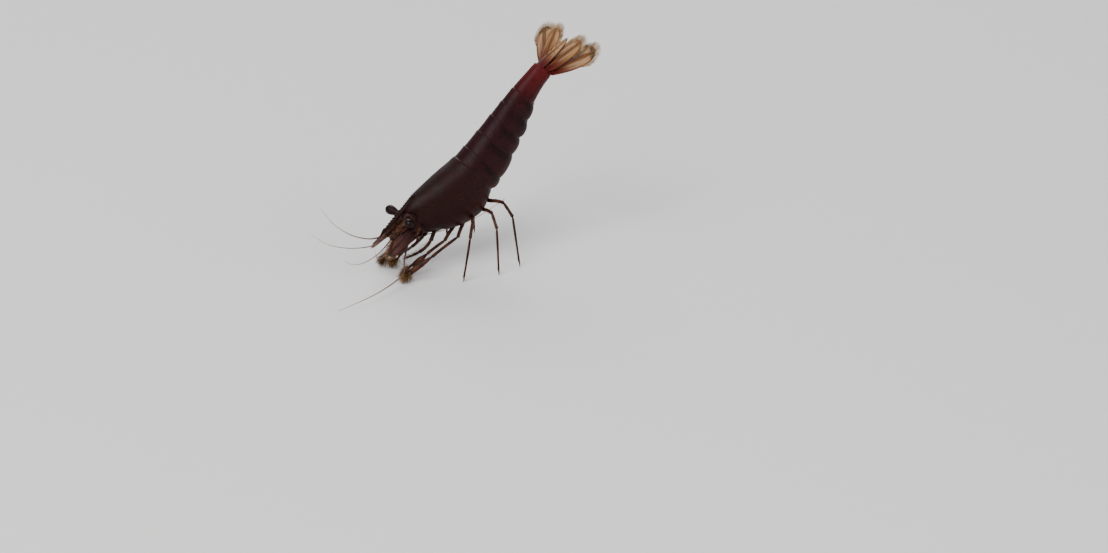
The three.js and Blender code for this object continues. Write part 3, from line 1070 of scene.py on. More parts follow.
@dataclass
class TailSomite:
    """The long sixth ring of the pleon, notched where the fan is hung.

    Each pinch is a share of its length and how far the ring there lies inside the shell's profile.
    """

    sides: int = 48
    lobe: Hump = Hump(0.05, 0.35, 0.12)
    notch_depth: float = 0.06
    pinches: tuple[tuple[float, float], ...] = (
        (-0.12, 0.16),
        (-0.03, 0.08),
        (0.0, 0.05),
        (0.08, 0.0),
        (0.3, 0.0),
        (0.6, 0.0),
        (0.88, -0.02),
        (0.96, -0.01),
        (0.99, 0.05),
        (1.0, 0.2),
        (0.97, 0.4),
    )
    finish: Finish = field(default_factory=ShellFinish)

    def build(self) -> bpy.types.Object:
        """Sweeps the barrel and closes it behind.

        Returns:
            The somite in body millimetres.
        """
        start = TAIL_BASE - TAIL_SOMITE
        rings = []
        for u, pinch in self.pinches:
            x = start + TAIL_SOMITE * u
            size = SHELL.at(x)
            height = (size.top - size.edge) / 2
            rings.append(Ring(x, (size.top + size.edge) / 2, size.half - pinch, height - pinch))
        piece = sweep("tail_somite", rings, self.sides)
        reshape(piece, self.notch)
        apply_modifier(piece, "SUBSURF", levels=1, render_levels=1)
        return piece

    def notch(self, place: Vector) -> Vector:
        """Draws the rear rim out into a lobe on each side of the telson.

        Args:
            place: A vertex.

        Returns:
            Where it goes.
        """
        rear = smooth(place.x, TAIL_BASE - 0.9, TAIL_BASE)
        return place + Vector((rear * (self.lobe.at(place.z) - self.notch_depth), 0.0, 0.0))

    def dress(self, piece: bpy.types.Object) -> None:
        """Settles and dresses the somite."""
        settle(piece, "tail_shell", self.finish, ["pleon_6"])


@dataclass
class Flesh:
    """The soft body inside the plates: one skin from the mouth to the tail."""

    sides: int = 32
    steps: int = 60
    face: float = 2.45
    dome: float = 0.4
    tail_dome: float = 0.15
    depth: float = 0.3
    fold: float = 0.06
    fold_pitch: float = 0.9
    finish: Finish = field(default_factory=FleshFinish)

    def build(self) -> bpy.types.Object:
        """Sweeps the skin from the domed face back, ribbed under each tergite.

        Returns:
            The skin in body millimetres.
        """
        rear = TAIL_BASE - TAIL_SOMITE + 0.4
        front, back = (0.1, 0.35, 0.7, 1.05, 1.35), (0.9, 0.1)
        places = [(self.face - self.dome * math.cos(turn), math.sin(turn)) for turn in front]
        places += [(blend(self.face, rear, i / self.steps), 1.0) for i in range(self.steps + 1)]
        places += [(rear + self.tail_dome * math.cos(turn), math.sin(turn)) for turn in back]
        return sweep("soft_body", [self.ring(x, share) for x, share in places], self.sides)

    def ring(self, x: float, share: float) -> Ring:
        """The skin's ring at one place.

        Args:
            x: The place along the body.
            share: How much of its full size it has, less at the ends.

        Returns:
            The ring.
        """
        size = SHELL.at(max(x, SHELL.stations[0].at))
        top = size.top - self.depth
        front = smooth(x, 3.6, 2.6)
        thorax = smooth(x, CARAPACE_REAR - 0.2, CARAPACE_REAR - 1.2)
        depth = size.top - size.edge
        belly = blend(size.edge + 0.36 * depth, size.edge - 0.2 + 0.45 * front, thorax)
        fold = self.fold * math.sin(2 * math.pi * (x - CARAPACE_REAR) / self.fold_pitch) * (1.0 - front)
        chest = (size.half - self.depth) * blend(0.8, 0.95, front)
        half = blend((size.half - 0.2) * 0.94, chest, thorax) + fold
        height = (top - belly) / 2 + fold * 0.5
        return Ring(x, (top + belly) / 2, half * share, height * share)

    def dress(self, piece: bpy.types.Object) -> None:
        """Settles and dresses the skin."""
        settle(piece, "limbs", self.finish, ["thorax", "head"])


@dataclass
class Rostrum:
    """The toothed blade between the eyes, thickened by a rib on each face."""

    dorsal: int = 14
    ventral: int = 5
    tooth: float = 0.17
    crest_start: float = 0.7
    crest_end: float = 4.9
    thickness: float = 0.12
    finish: Finish = field(default_factory=ShellFinish)

    def outline(self) -> list[tuple[float, float]]:
        """The blade's side outline, as places along the body and heights."""
        points = [(0.0, ROSTRUM_TIP)]
        step = (self.crest_end - self.crest_start) / self.dorsal
        for i in range(self.dorsal):
            x = self.crest_start + i * step
            ridge = ROSTRUM_TIP + 0.04 + 0.07 * math.sin(math.pi * x / self.crest_end)
            points.append((x, ridge + self.tooth))
            points.append((x + 0.3 * step, ridge + 0.55 * self.tooth))
            points.append((x + 1.04 * step, ridge))
        points[-1] = (self.crest_end - 0.05, 2.45)
        points += [(self.crest_end, 2.2), (ORBIT + 0.3, 1.9), (ORBIT - 0.35, 2.08)]
        for i in range(self.ventral):
            x = 2.1 - i * 0.34
            rise = 0.04 * i
            points += [(x + 0.17, 2.1 + rise), (x - 0.03, 2.0 + rise), (x - 0.02, 2.11 + rise)]
        return points

    def build(self) -> bpy.types.Object:
        """Cuts the blade from its outline and joins the ribs.

        Returns:
            The rostrum in body millimetres.
        """
        bpy.ops.object.select_all(action="DESELECT")
        outline = self.outline()
        bpy.ops.mesh.primitive_circle_add(vertices=len(outline), radius=1.0, fill_type="NGON")
        blade = bpy.context.object
        for vertex, (x, z) in zip(blade.data.vertices, outline):
            vertex.co = (x, -self.thickness / 2, z)
        bpy.ops.object.mode_set(mode="EDIT")
        bpy.ops.mesh.select_all(action="SELECT")
        bpy.ops.mesh.extrude_region_move(TRANSFORM_OT_translate={"value": (0.0, self.thickness, 0.0)})
        bpy.ops.mesh.select_all(action="SELECT")
        bpy.ops.mesh.normals_make_consistent(inside=False)
        bpy.ops.object.mode_set(mode="OBJECT")
        apply_modifier(blade, "BEVEL", width=0.025, segments=2, limit_method="ANGLE")
        places = [0.05, 0.6, 1.4, 2.2, 3.1, 3.9, 4.7]
        radii = [0.02, 0.08, 0.13, 0.17, 0.22, 0.2, 0.05]
        rib = Strand([Vector((x, 0.0, ROSTRUM_TIP - 0.1 - 0.01 * x)) for x in places], radii)
        return join("rostrum_blade", [blade, rods("rib", [rib], 4)])

    def dress(self, piece: bpy.types.Object) -> None:
        """Settles and dresses the blade."""
        settle(piece, "shell", self.finish, ["rostrum"])


# ---- Blades and bristles ----


@dataclass(frozen=True)
class Leaf:
    """The outline of a thin blade, in millimetres, with shares of its length."""

    width: float
    wall: float = 0.09
    root: float = 0.5
    widest: float = 0.6
    blunt: float = 2.2
    camber: float = 0.1
    rib: float = 0.07
    cells: tuple[int, int] = (34, 16)

    def half(self, u: float) -> float:
        """Half the width a share u of the way along."""
        if u < self.widest:
            return 0.5 * self.width * blend(self.root, 1.0, math.sin(0.5 * math.pi * u / self.widest))
        rest = min((u - self.widest) / (1.0 - self.widest), 1.0)
        return 0.5 * self.width * (1.0 - rest**self.blunt) ** (1 / 2.1)


@dataclass(frozen=True)
class Mount:
    """Where a blade is hung: its root, its tip and the way its face looks."""

    root: Vector
    tip: Vector
    face: Vector

    def axes(self) -> tuple[Vector, Vector, Vector]:
        """Along, across and out of the blade's face."""
        along = (self.tip - self.root).normalized()
        across = self.face.cross(along).normalized()
        return along, across, along.cross(across)

    def point(self, leaf: Leaf, u: float, v: float) -> Vector:
        """A place on the blade's middle surface.

        Args:
            leaf: The outline.
            u: Share of the length.
            v: From -1 on one margin to 1 on the other.

        Returns:
            The point in body millimetres.
        """
        along, across, out = self.axes()
        reach = (self.tip - self.root).length
        spread = v * leaf.half(u) / (0.5 * leaf.width)
        midrib = Hump(0.0, 0.1, leaf.rib).at(v) * (1.0 - u * u)
        flutes = 0.012 * math.cos(7 * math.pi * v) * smooth(u, 0.1, 0.4) * smooth(u, 1.0, 0.85)
        rise = midrib + flutes - leaf.camber * spread * spread
        return self.root + along * (reach * u) + across * (leaf.half(u) * v) + out * rise


def blade(name: str, leaf: Leaf, mount: Mount) -> bpy.types.Object:
    """Shapes a grid into a thin ribbed blade with its grain along it.

    Args:
        name: The piece's name.
        leaf: The outline.
        mount: Where it is hung.

    Returns:
        The blade in body millimetres.
    """
    bpy.ops.object.select_all(action="DESELECT")
    bpy.ops.mesh.primitive_grid_add(x_subdivisions=leaf.cells[0], y_subdivisions=leaf.cells[1], size=2.0)
    piece = bpy.context.object
    piece.name = piece.data.name = name
    piece.data.uv_layers[0].name = "grain"

    def rule(place: Vector) -> Vector:
        """Crowds the grid's cells toward the tip and lays them on the blade."""
        share = 0.5 * (place.x + 1.0)
        return mount.point(leaf, min(1.0 - (1.0 - share) ** 1.7, BLADE_END), place.y)

    reshape(piece, rule)
    apply_modifier(piece, "SOLIDIFY", thickness=leaf.wall, offset=0.0)
    apply_modifier(piece, "SUBSURF", levels=1, render_levels=1)
    return piece


def lay_grain(rod: bpy.types.Object, reach: float, across: float) -> bpy.types.Object:
    """Gives a rod the grain of the blade that it lies on.

    Args:
        rod: The rod, with its run attribute.
        reach: The share of the blade's length where it ends.
        across: Its place across the blade, from 0 to 1.

    Returns:
        The same rod.
    """
    run = [item.value for item in rod.data.attributes["run"].data]
    layer = rod.data.uv_layers.new(name="grain")
    for loop in rod.data.loops:
        layer.data[loop.index].uv = (run[loop.vertex_index] * reach, across)
    return rod


@dataclass(frozen=True)
class Bristle:
    """One stiff hair: its root, the way it points, its length, root radius and droop."""

    root: Vector
    aim: Vector
    length: float
    radius: float = 0.012
    droop: Vector = field(default_factory=lambda: Vector((0.0, 0.0, 0.0)))

    def strand(self) -> Strand:
        """The hair as a tapering strand."""
        points, radii = [], []
        for u, size in ((-0.06, 1.0), (0.3, 0.95), (0.7, 0.7), (1.0, 0.15)):
            points.append(self.root + self.aim * (self.length * u) + self.droop * (self.length * u * u))
            radii.append(self.radius * size)
        return Strand(points, radii)


def margin_route(leaf: Leaf, mount: Mount, span: tuple[float, float], sign: int) -> list[Vector]:
    """Points along one margin of a blade, closer together toward its tip, and round the tip.

    Args:
        leaf: The blade's outline.
        mount: Where it is hung.
        span: The stretch of the margin, as shares of the length.
        sign: Which margin.

    Returns:
        The points in body millimetres.
    """
    cells = 160
    shares = [blend(span[0], span[1], 1.0 - (1.0 - i / cells) ** 2) for i in range(cells + 1)]
    margin = [mount.point(leaf, u, sign * 0.99) for u in shares]
    if span[1] > 0.99:
        margin += [mount.point(leaf, span[1], sign * v) for v in (0.6, 0.2)]
    return margin


def fringe(
    leaf: Leaf,
    mount: Mount,
    span: tuple[float, float],
    count: int,
    length: float,
    seed: int,
    sides: tuple[int, ...] = (-1, 1),
    sweep_back: float = 0.9,
    radius: float = 0.015,
) -> list[Bristle]:
    """Bristles along a blade's margins, swept toward its tip.

    Args:
        leaf: The blade's outline.
        mount: Where it is hung.
        span: The stretch of the margin, as shares of the length.
        count: How many on each side.
        length: Their length in millimetres.
        seed: Seeds their unevenness.
        sides: Which margins carry them.
        sweep_back: How far they lean toward the tip.
        radius: Their radius at the root.

    Returns:
        The bristles.
    """
    dice = random.Random(seed)
    along, _, out = mount.axes()
    hairs = []
    for sign in sides:
        margin = margin_route(leaf, mount, span, sign)
        lengths = running_length(margin)
        for i in range(count):
            goal = lengths[-1] * (i + 0.5) / count
            j = min(sum(1 for value in lengths if value < goal), len(margin) - 1)
            outward = out.cross((margin[j] - margin[j - 1]).normalized()) * sign
            aim = (outward + along * sweep_back + out * dice.uniform(-0.08, 0.08)).normalized()
            droop = along * 0.12 + out * dice.uniform(-0.05, 0.02)
            root = margin[j - 1].lerp(margin[j], 0.5)
            grown = blend(0.35, 1.0, smooth(i / count, 0.0, 0.25))
            hairs.append(Bristle(root, aim, length * grown * dice.uniform(0.8, 1.1), radius, droop))
    return hairs


def brush(
    root: Vector,
    aim: Vector,
    count: int,
    length: float,
    seed: int,
    spread: float,
    base: float,
    radius: float = 0.01,
) -> list[Bristle]:
    """A tuft of bristles that fans out from one place.

    Args:
        root: The tuft's middle.
        aim: The way it points.
        count: How many bristles.
        length: Their length.
        seed: Seeds their unevenness.
        spread: How far they fan out.
        base: Radius of the patch that they grow from.
        radius: Their radius at the root.

    Returns:
        The bristles.
    """
    dice = random.Random(seed)
    hairs = []
    for _ in range(count):
        jitter = Vector((dice.gauss(0, 1), dice.gauss(0, 1), dice.gauss(0, 1))) * 0.5
        start = root + jitter * base
        way = (aim.normalized() + jitter * spread).normalized()
        droop = aim.normalized() * 0.15
        reach = length * dice.uniform(0.7, 1.1)
        fall = STANCE.height(start) - STANCE.height(start + (way + droop) * reach)
        reach *= min(1.0, (STANCE.height(start) - FLOOR_GAP) / max(fall, FLOOR_GAP))
        hairs.append(Bristle(start, way, reach, radius, droop))
    return hairs


def along_limb(
    start: Vector,
    end: Vector,
    count: int,
    length: float,
    seed: int,
    radius: float,
    under: Vector,
    lean: float = 1.0,
) -> list[Bristle]:
    """Bristles along one face of a limb segment, leaning toward its end.

    Args:
        start: Where the segment begins.
        end: Where it ends.
        count: How many bristles.
        length: Their length.
        seed: Seeds their unevenness.
        radius: The segment's radius.
        under: The way that the bristly face looks.
        lean: How far they lean toward the segment's end.

    Returns:
        The bristles.
    """
    dice = random.Random(seed)
    axis = (end - start).normalized()
    face = (under - axis * under.dot(axis)).normalized()
    side = axis.cross(face)
    hairs = []
    for i in range(count):
        turn = dice.gauss(0.0, 0.5)
        outward = face * math.cos(turn) + side * math.sin(turn)
        root = start.lerp(end, (i + dice.uniform(0.2, 0.8)) / count) + outward * radius * 0.9
        aim = (outward + axis * lean).normalized()
        hairs.append(Bristle(root, aim, length * dice.uniform(0.7, 1.15), 0.009, axis * 0.2))
    return hairs


@dataclass
class Bristles:
    """Stiff hairs gathered from many pieces and joined into one mesh."""

    name: str
    hairs: list[Bristle]
    slot: str = "limbs"
    finish: Finish = field(default_factory=BristleFinish)
    patch: float = 0.003

    def build(self) -> bpy.types.Object:
        """Makes the hairs and lays each one out as a small patch at its root's place.

        Returns:
            The joined hairs in body millimetres.
        """
        piece = rods(self.name, [hair.strand() for hair in self.hairs], 0)
        mesh = piece.data
        each = len(mesh.vertices) // len(self.hairs)
        layer = mesh.uv_layers.new(name="OFBake")
        for loop in mesh.loops:
            hair, part = divmod(loop.vertex_index, each)
            root = self.hairs[min(hair, len(self.hairs) - 1)].root
            size = SHELL.at(min(max(root.x, 2.2), TAIL_BASE))
            turn = math.atan2(root.y, root.z - (size.top + size.edge) / 2) / (2 * math.pi)
            u = 0.02 + 0.96 * min(max((root.x + 4.0) / (BODY_LENGTH + 8.0), 0.0), 1.0)
            v = 0.02 + 0.96 * (turn % 1.0)
            step = self.patch / 4
            layer.data[loop.index].uv = (u + step * (part // 4), v + step * (part % 4))
        return piece

    def dress(self, piece: bpy.types.Object) -> None:
        """Settles and dresses the hairs."""
        settle(piece, self.slot, self.finish)


# ---- Head ----


@dataclass
class Eye:
    """A cornea on its short stalk."""

    side: Side
    radius: float = 0.45
    finish: Finish = field(default_factory=EyeFinish)
    stalk_finish: Finish = field(default_factory=ShellFinish)

    def build(self) -> tuple[bpy.types.Object, bpy.types.Object]:
        """Shapes the cornea and the stalk.

        Returns:
            The cornea and the stalk in body millimetres.
        """
        centre = self.side.at(*EYE_PLACE)
        look = self.side.at(-0.21, 0.94, 0.26).normalized()
        bpy.ops.object.select_all(action="DESELECT")
        bpy.ops.mesh.primitive_uv_sphere_add(segments=40, ring_count=28, radius=self.radius)
        cornea = bpy.context.object
        cornea.name = cornea.data.name = f"cornea_{self.side.word}"
        reshape(cornea, lambda place: centre + look * 0.01 + place + look * (0.05 * place.dot(look)))
        stem = [self.side.at(2.95, 0.35, 1.55), self.side.at(2.78, 0.75, 1.74), self.side.at(2.66, 1.1, 1.88)]
        points = route([*stem, centre - look * 0.2], 9)
        radii = [0.2, 0.2, 0.21, 0.22, 0.24, 0.27, 0.31, 0.36, 0.41, 0.43]
        points += [centre - look * 0.08, centre - look * 0.05]
        radii += [0.445, 0.42]
        stalk = rods(f"eyestalk_cup_{self.side.word}", [Strand(points, radii)], 6)
        return cornea, stalk

    def dress(self, pieces: tuple[bpy.types.Object, bpy.types.Object]) -> None:
        """Settles and dresses the cornea and the stalk."""
        settle(pieces[0], "eyes", self.finish, [f"eye_{self.side.word}"])
        settle(pieces[1], "shell", self.stalk_finish, [f"eyestalk_{self.side.word}"])


@dataclass
class Feeler:
    """A long ringed flagellum that thins to its tip."""

    name: str
    node: str
    path: list[Vector]
    radius: float = 0.085
    tip: float = 0.02
    ring: float = 0.13
    finish: Finish = field(default_factory=FeelerFinish)

    def build(self) -> bpy.types.Object:
        """Runs the flagellum along its path with a swelling at each ring.

        Returns:
            The feeler in body millimetres.
        """
        length = sum((q - p).length for p, q in zip(self.path, self.path[1:]))
        rings = max(int(length / self.ring), 12)
        points = route(self.path, rings * 2)
        radii = []
        for i in range(len(points)):
            size = blend(self.radius, self.tip, (i / (len(points) - 1)) ** 0.8)
            radii.append(size * (1.0 if i % 2 else 0.84))
        return rods(self.name, [Strand(points, radii)], 1)

    def dress(self, piece: bpy.types.Object) -> None:
        """Settles and dresses the feeler."""
        settle(piece, "limbs", self.finish, [self.node])


@dataclass
class Antennule:
    """The upper feeler's three-jointed stem, its side spines and its two flagella."""

    side: Side
    spine: tuple[tuple[float, float, float], ...] = (
        (2.6, 0.86, 1.3),
        (2.1, 0.96, 1.38),
        (1.6, 0.94, 1.46),
        (1.2, 0.88, 1.54),
    )
    joint_spine: tuple[tuple[float, float, float], ...] = (
        (1.64, 0.82, 1.46),
        (1.45, 0.88, 1.5),
        (1.3, 0.88, 1.53),
    )
    finish: Finish = field(default_factory=LimbFinish)

    def build(self) -> bpy.types.Object:
        """Joints the stem.

        Returns:
            The stem in body millimetres.
        """
        strands = [
            segment(self.side.at(2.85, 0.44, 1.3), self.side.at(1.6, 0.44, 1.48), 0.36, 0.35),
            segment(self.side.at(1.68, 0.44, 1.48), self.side.at(0.95, 0.46, 1.56), 0.31, 0.31),
            segment(self.side.at(1.02, 0.46, 1.55), self.side.at(0.42, 0.5, 1.58), 0.27, 0.27),
            Strand([self.side.at(*place) for place in self.spine], [0.12, 0.1, 0.06, 0.01]),
            Strand([self.side.at(*place) for place in self.joint_spine], [0.06, 0.04, 0.006]),
        ]
        return rods(f"antennule_stem_{self.side.word}", strands, 4)

    def dress(self, piece: bpy.types.Object) -> None:
        """Settles and dresses the stem."""
        settle(piece, "limbs", self.finish, [f"antennule_{self.side.word}"])

    def feelers(self) -> list[Feeler]:
        """The two flagella."""
        sign = self.side.value
        fork = STANCE.above_floor(-0.86, 0.0, 3.67)
        inner = [
            self.side.at(0.44, 0.48, 1.5),
            Vector((fork.x, sign * 0.4, fork.z)),
            STANCE.above_floor(-2.0, sign * 0.75, 3.0),
            STANCE.above_floor(-3.8, sign * 1.6, 2.8),
            STANCE.above_floor(-5.6, sign * 2.5, 3.2),
            STANCE.above_floor(-7.0, sign * 3.3, 4.2),
        ]
        outer = [
            self.side.at(0.44, 0.66, 1.5),
            Vector((fork.x, sign * 0.78, fork.z)),
            STANCE.above_floor(-1.9, sign * 1.75, 3.25),
            STANCE.above_floor(-3.2, sign * 3.0, 3.5),
            STANCE.above_floor(-4.3, sign * 4.3, 4.4),
            STANCE.above_floor(-5.0, sign * 5.3, 5.7),
        ]
        word = self.side.word
        return [
            Feeler(f"antennule_inner_{word}", f"antennule_whip_inner_{word}", inner, 0.075, 0.016, 0.11),
            Feeler(f"antennule_outer_{word}", f"antennule_whip_outer_{word}", outer, 0.1, 0.016, 0.11),
        ]

    def hairs(self) -> list[Bristle]:
        """Bristles at the joints of the stem and under the outer flagellum's root."""
        gathered = []
        for n, x in enumerate((1.62, 0.97, 0.45)):
            place = self.side.at(x, 0.57, 1.64 - 0.12 * (x - 0.4))
            gathered += brush(place, self.side.at(-1.0, 0.35, 0.35), 16, 0.36, 40 + n, 0.5, 0.3)
        return gathered


@dataclass
class AntennalScale:
    """The flat blade beside each antenna, with a spine at its outer corner and an inner fringe."""

    side: Side
    leaf: Leaf = Leaf(width=1.45, root=0.8, widest=0.5, blunt=2.4, camber=-0.06, rib=0.08)
    finish: Finish = FanFinish(
        thin=0.15, blotted=0.4, amber="4c2c26", ray="29130f", rim="37160f", root="280f0e"
    )

    def mount(self) -> Mount:
        """Where the scale is hung."""
        face = self.side.at(0.0, 0.35, 1.0)
        return Mount(self.side.at(2.3, 1.24, 0.9), self.side.at(-0.85, 1.44, 1.24), face)

    def build(self) -> bpy.types.Object:
        """Shapes the blade and its spine.

        Returns:
            The scale in body millimetres.
        """
        mount = self.mount()
        along, across, _ = mount.axes()
        way = 1 if across.y * self.side.value > 0 else -1
        edge = [mount.point(self.leaf, u, way * 0.93) for u in (0.3, 0.55, 0.75)]
        spine = Strand([*edge, edge[-1] + along * 0.34], [0.045, 0.06, 0.055, 0.008])
        scale = blade(f"antennal_scale_blade_{self.side.word}", self.leaf, mount)
        stalk = segment(self.side.at(2.75, 1.0, 0.7), mount.root + along * 0.25, 0.3, 0.22)
        return join(scale.name, [scale, rods("stem", [stalk], 4), rods("spine", [spine], 2)])

    def dress(self, piece: bpy.types.Object) -> None:
        """Settles and dresses the scale."""
        settle(piece, "fan", self.finish, [f"antennal_scale_{self.side.word}"])

    def hairs(self) -> list[Bristle]:
        """The fringe on the inner margin and round the tip."""
        mount = self.mount()
        inner = -1 if mount.axes()[1].y * self.side.value > 0 else 1
        return [
            *fringe(self.leaf, mount, (0.3, BLADE_END), 90, 0.52, 60, (inner,), 1.3),
            *fringe(self.leaf, mount, (0.8, BLADE_END), 26, 0.44, 61, (-inner,), 1.6),
        ]


@dataclass
class Antenna:
    """The stout base joints of the long feeler, and the feeler's two routes above the floor."""

    side: Side
    forward: tuple[tuple[float, float, float], ...] = (
        (-0.2, -1.95, 2.3),
        (-0.75, -2.75, 1.4),
        (-1.9, -3.3, 1.0),
        (-4.7, -4.35, 0.7),
        (-8.8, -5.5, 0.6),
    )
    swept_back: tuple[tuple[float, float, float], ...] = (
        (0.0, 2.2, 3.1),
        (0.4, 3.4, 2.45),
        (2.2, 3.9, 1.7),
        (4.8, 3.6, 1.4),
        (8.0, 3.4, 1.6),
        (10.4, 3.05, 2.3),
        (12.9, 2.7, 3.6),
    )
    finish: Finish = field(default_factory=LimbFinish)

    def build(self) -> bpy.types.Object:
        """Joints the base.

        Returns:
            The base in body millimetres.
        """
        at = self.side.at
        strands = [
            segment(at(2.95, 0.85, 0.35), at(1.9, 1.04, 0.25), 0.34, 0.29),
            segment(at(1.98, 1.03, 0.25), at(1.5, 1.08, 0.25), 0.24, 0.24),
            segment(at(1.55, 1.08, 0.25), at(1.06, 1.11, 0.29), 0.2, 0.17),
            Strand([at(2.2, 1.3, 0.2), at(1.85, 1.4, 0.18), at(1.55, 1.42, 0.2)], [0.08, 0.05, 0.008]),
        ]
        return rods(f"antenna_base_{self.side.word}", strands, 4)

    def dress(self, piece: bpy.types.Object) -> None:
        """Settles and dresses the base."""
        settle(piece, "limbs", self.finish, [f"antenna_{self.side.word}"])

    def feeler(self) -> Feeler:
        """The long flagellum: forward on the left, swept back on the right."""
        stops = self.forward if self.side is Side.LEFT else self.swept_back
        path = [self.side.at(1.1, 1.11, 0.29), *(STANCE.above_floor(*stop) for stop in stops)]
        word = self.side.word
        return Feeler(f"antenna_flagellum_{word}", f"antenna_whip_{word}", path, 0.11, 0.024, 0.14)


@dataclass
class Mouth:
    """The outer jaw-foot of one side, and the bristly plates over the mouth."""

    side: Side
    finish: Finish = field(default_factory=LimbFinish)

    def joints(self) -> list[Vector]:
        """The joints of the outer jaw-foot."""
        places = ((3.7, 0.42, -1.6), (2.7, 0.66, -1.85), (1.2, 0.7, -1.65), (-0.1, 0.5, -0.95))
        return [self.side.at(*place) for place in places]

    def build(self) -> bpy.types.Object:
        """Joints the jaw-foot and lays the mouth's plates.

        Returns:
            The mouth parts of this side in body millimetres.
        """
        a, b, c, d = self.joints()
        strands = [
            segment(a + (a - b) * 0.4, b, 0.2, 0.19),
            segment(b.lerp(c, 0.02), c, 0.17, 0.16, self.side.at(0.0, 0.06, -0.08)),
            segment(c.lerp(d, 0.03), d, 0.14, 0.09, self.side.at(0.0, 0.0, -0.05)),
            Strand([d, d.lerp(d + (d - c), 0.08), d.lerp(d + (d - c), 0.16)], [0.06, 0.04, 0.01]),
            segment(self.side.at(3.3, 0.3, -0.5), self.side.at(2.3, 0.38, -0.75), 0.16, 0.13),
            segment(self.side.at(2.34, 0.38, -0.74), self.side.at(1.75, 0.2, -0.5), 0.12, 0.1),
            segment(self.side.at(3.2, 0.62, -0.35), self.side.at(2.4, 0.78, -0.55), 0.2, 0.12),
            segment(self.side.at(2.9, 0.3, -0.1), self.side.at(2.2, 0.24, -0.22), 0.26, 0.2),
        ]
        return rods(f"jaw_foot_{self.side.word}", strands, 3)

    def dress(self, piece: bpy.types.Object) -> None:
        """Settles and dresses the mouth parts."""
        settle(piece, "limbs", self.finish, [f"maxilliped_{self.side.word}"])

    def hairs(self) -> list[Bristle]:
        """Bristles on the inner faces of the jaw-feet and over the mouth."""
        _, b, c, d = self.joints()
        inward = self.side.at(0.0, -1.0, 0.5)
        return [
            *along_limb(b, c, 34, 0.3, 71, 0.15, inward, 0.6),
            *along_limb(c, d, 60, 0.36, 72, 0.11, inward, 0.8),
            *along_limb(c, d, 20, 0.28, 73, 0.11, self.side.at(0.0, 1.0, -0.6), 1.2),
            *brush(self.side.at(1.85, 0.22, -0.52), self.side.at(-1.0, -0.2, 0.1), 24, 0.4, 74, 0.5, 0.12),
            *brush(self.side.at(2.3, 0.3, -0.25), self.side.at(-1.0, 0.1, -0.5), 18, 0.35, 75, 0.5, 0.15),
        ]


# ---- Legs ----


@dataclass(frozen=True)
class Limb:
    """One leg's hip in the body's axes, then its knee, wrist and tip in plan and above the floor."""

    number: int
    hip: tuple[float, float, float]
    knee: tuple[float, float, float]
    wrist: tuple[float, float, float]
    tip: tuple[float, float, float]
    palm: float = 0.0

    @property
    def clawed(self) -> bool:
        """Whether it ends in a claw."""
        return self.palm > 0.0


# Each finger's reach past the palm, its distance from the claw's middle in palm radii, and its radius.
FINGER_SHAPE = (
    (-0.1, 0.5, 0.12),
    (0.15, 0.72, 0.12),
    (0.4, 0.66, 0.105),
    (0.62, 0.42, 0.1),
    (0.72, 0.26, 0.05),
)

LIMBS = (
    Limb(1, (5.3, 0.55, -2.85), (4.3, 1.35, 2.9), (2.3, 1.7, 2.2), (0.95, 1.44, 1.12), 0.31),
    Limb(2, (6.1, 0.6, -3.35), (5.1, 2.4, 3.5), (2.2, 2.8, 2.35), (0.3, 2.3, 1.08), 0.28),
    Limb(3, (7.0, 0.68, -3.65), (6.3, 3.0, 4.9), (5.5, 4.0, 3.9), (4.4, 4.6, 0.0)),
    Limb(4, (7.9, 0.72, -3.78), (8.2, 3.2, 5.5), (8.1, 4.3, 4.4), (7.9, 5.0, 0.0)),
    Limb(5, (8.8, 0.7, -3.72), (9.7, 2.7, 6.0), (10.1, 3.7, 4.9), (10.5, 4.3, 0.0)),
)


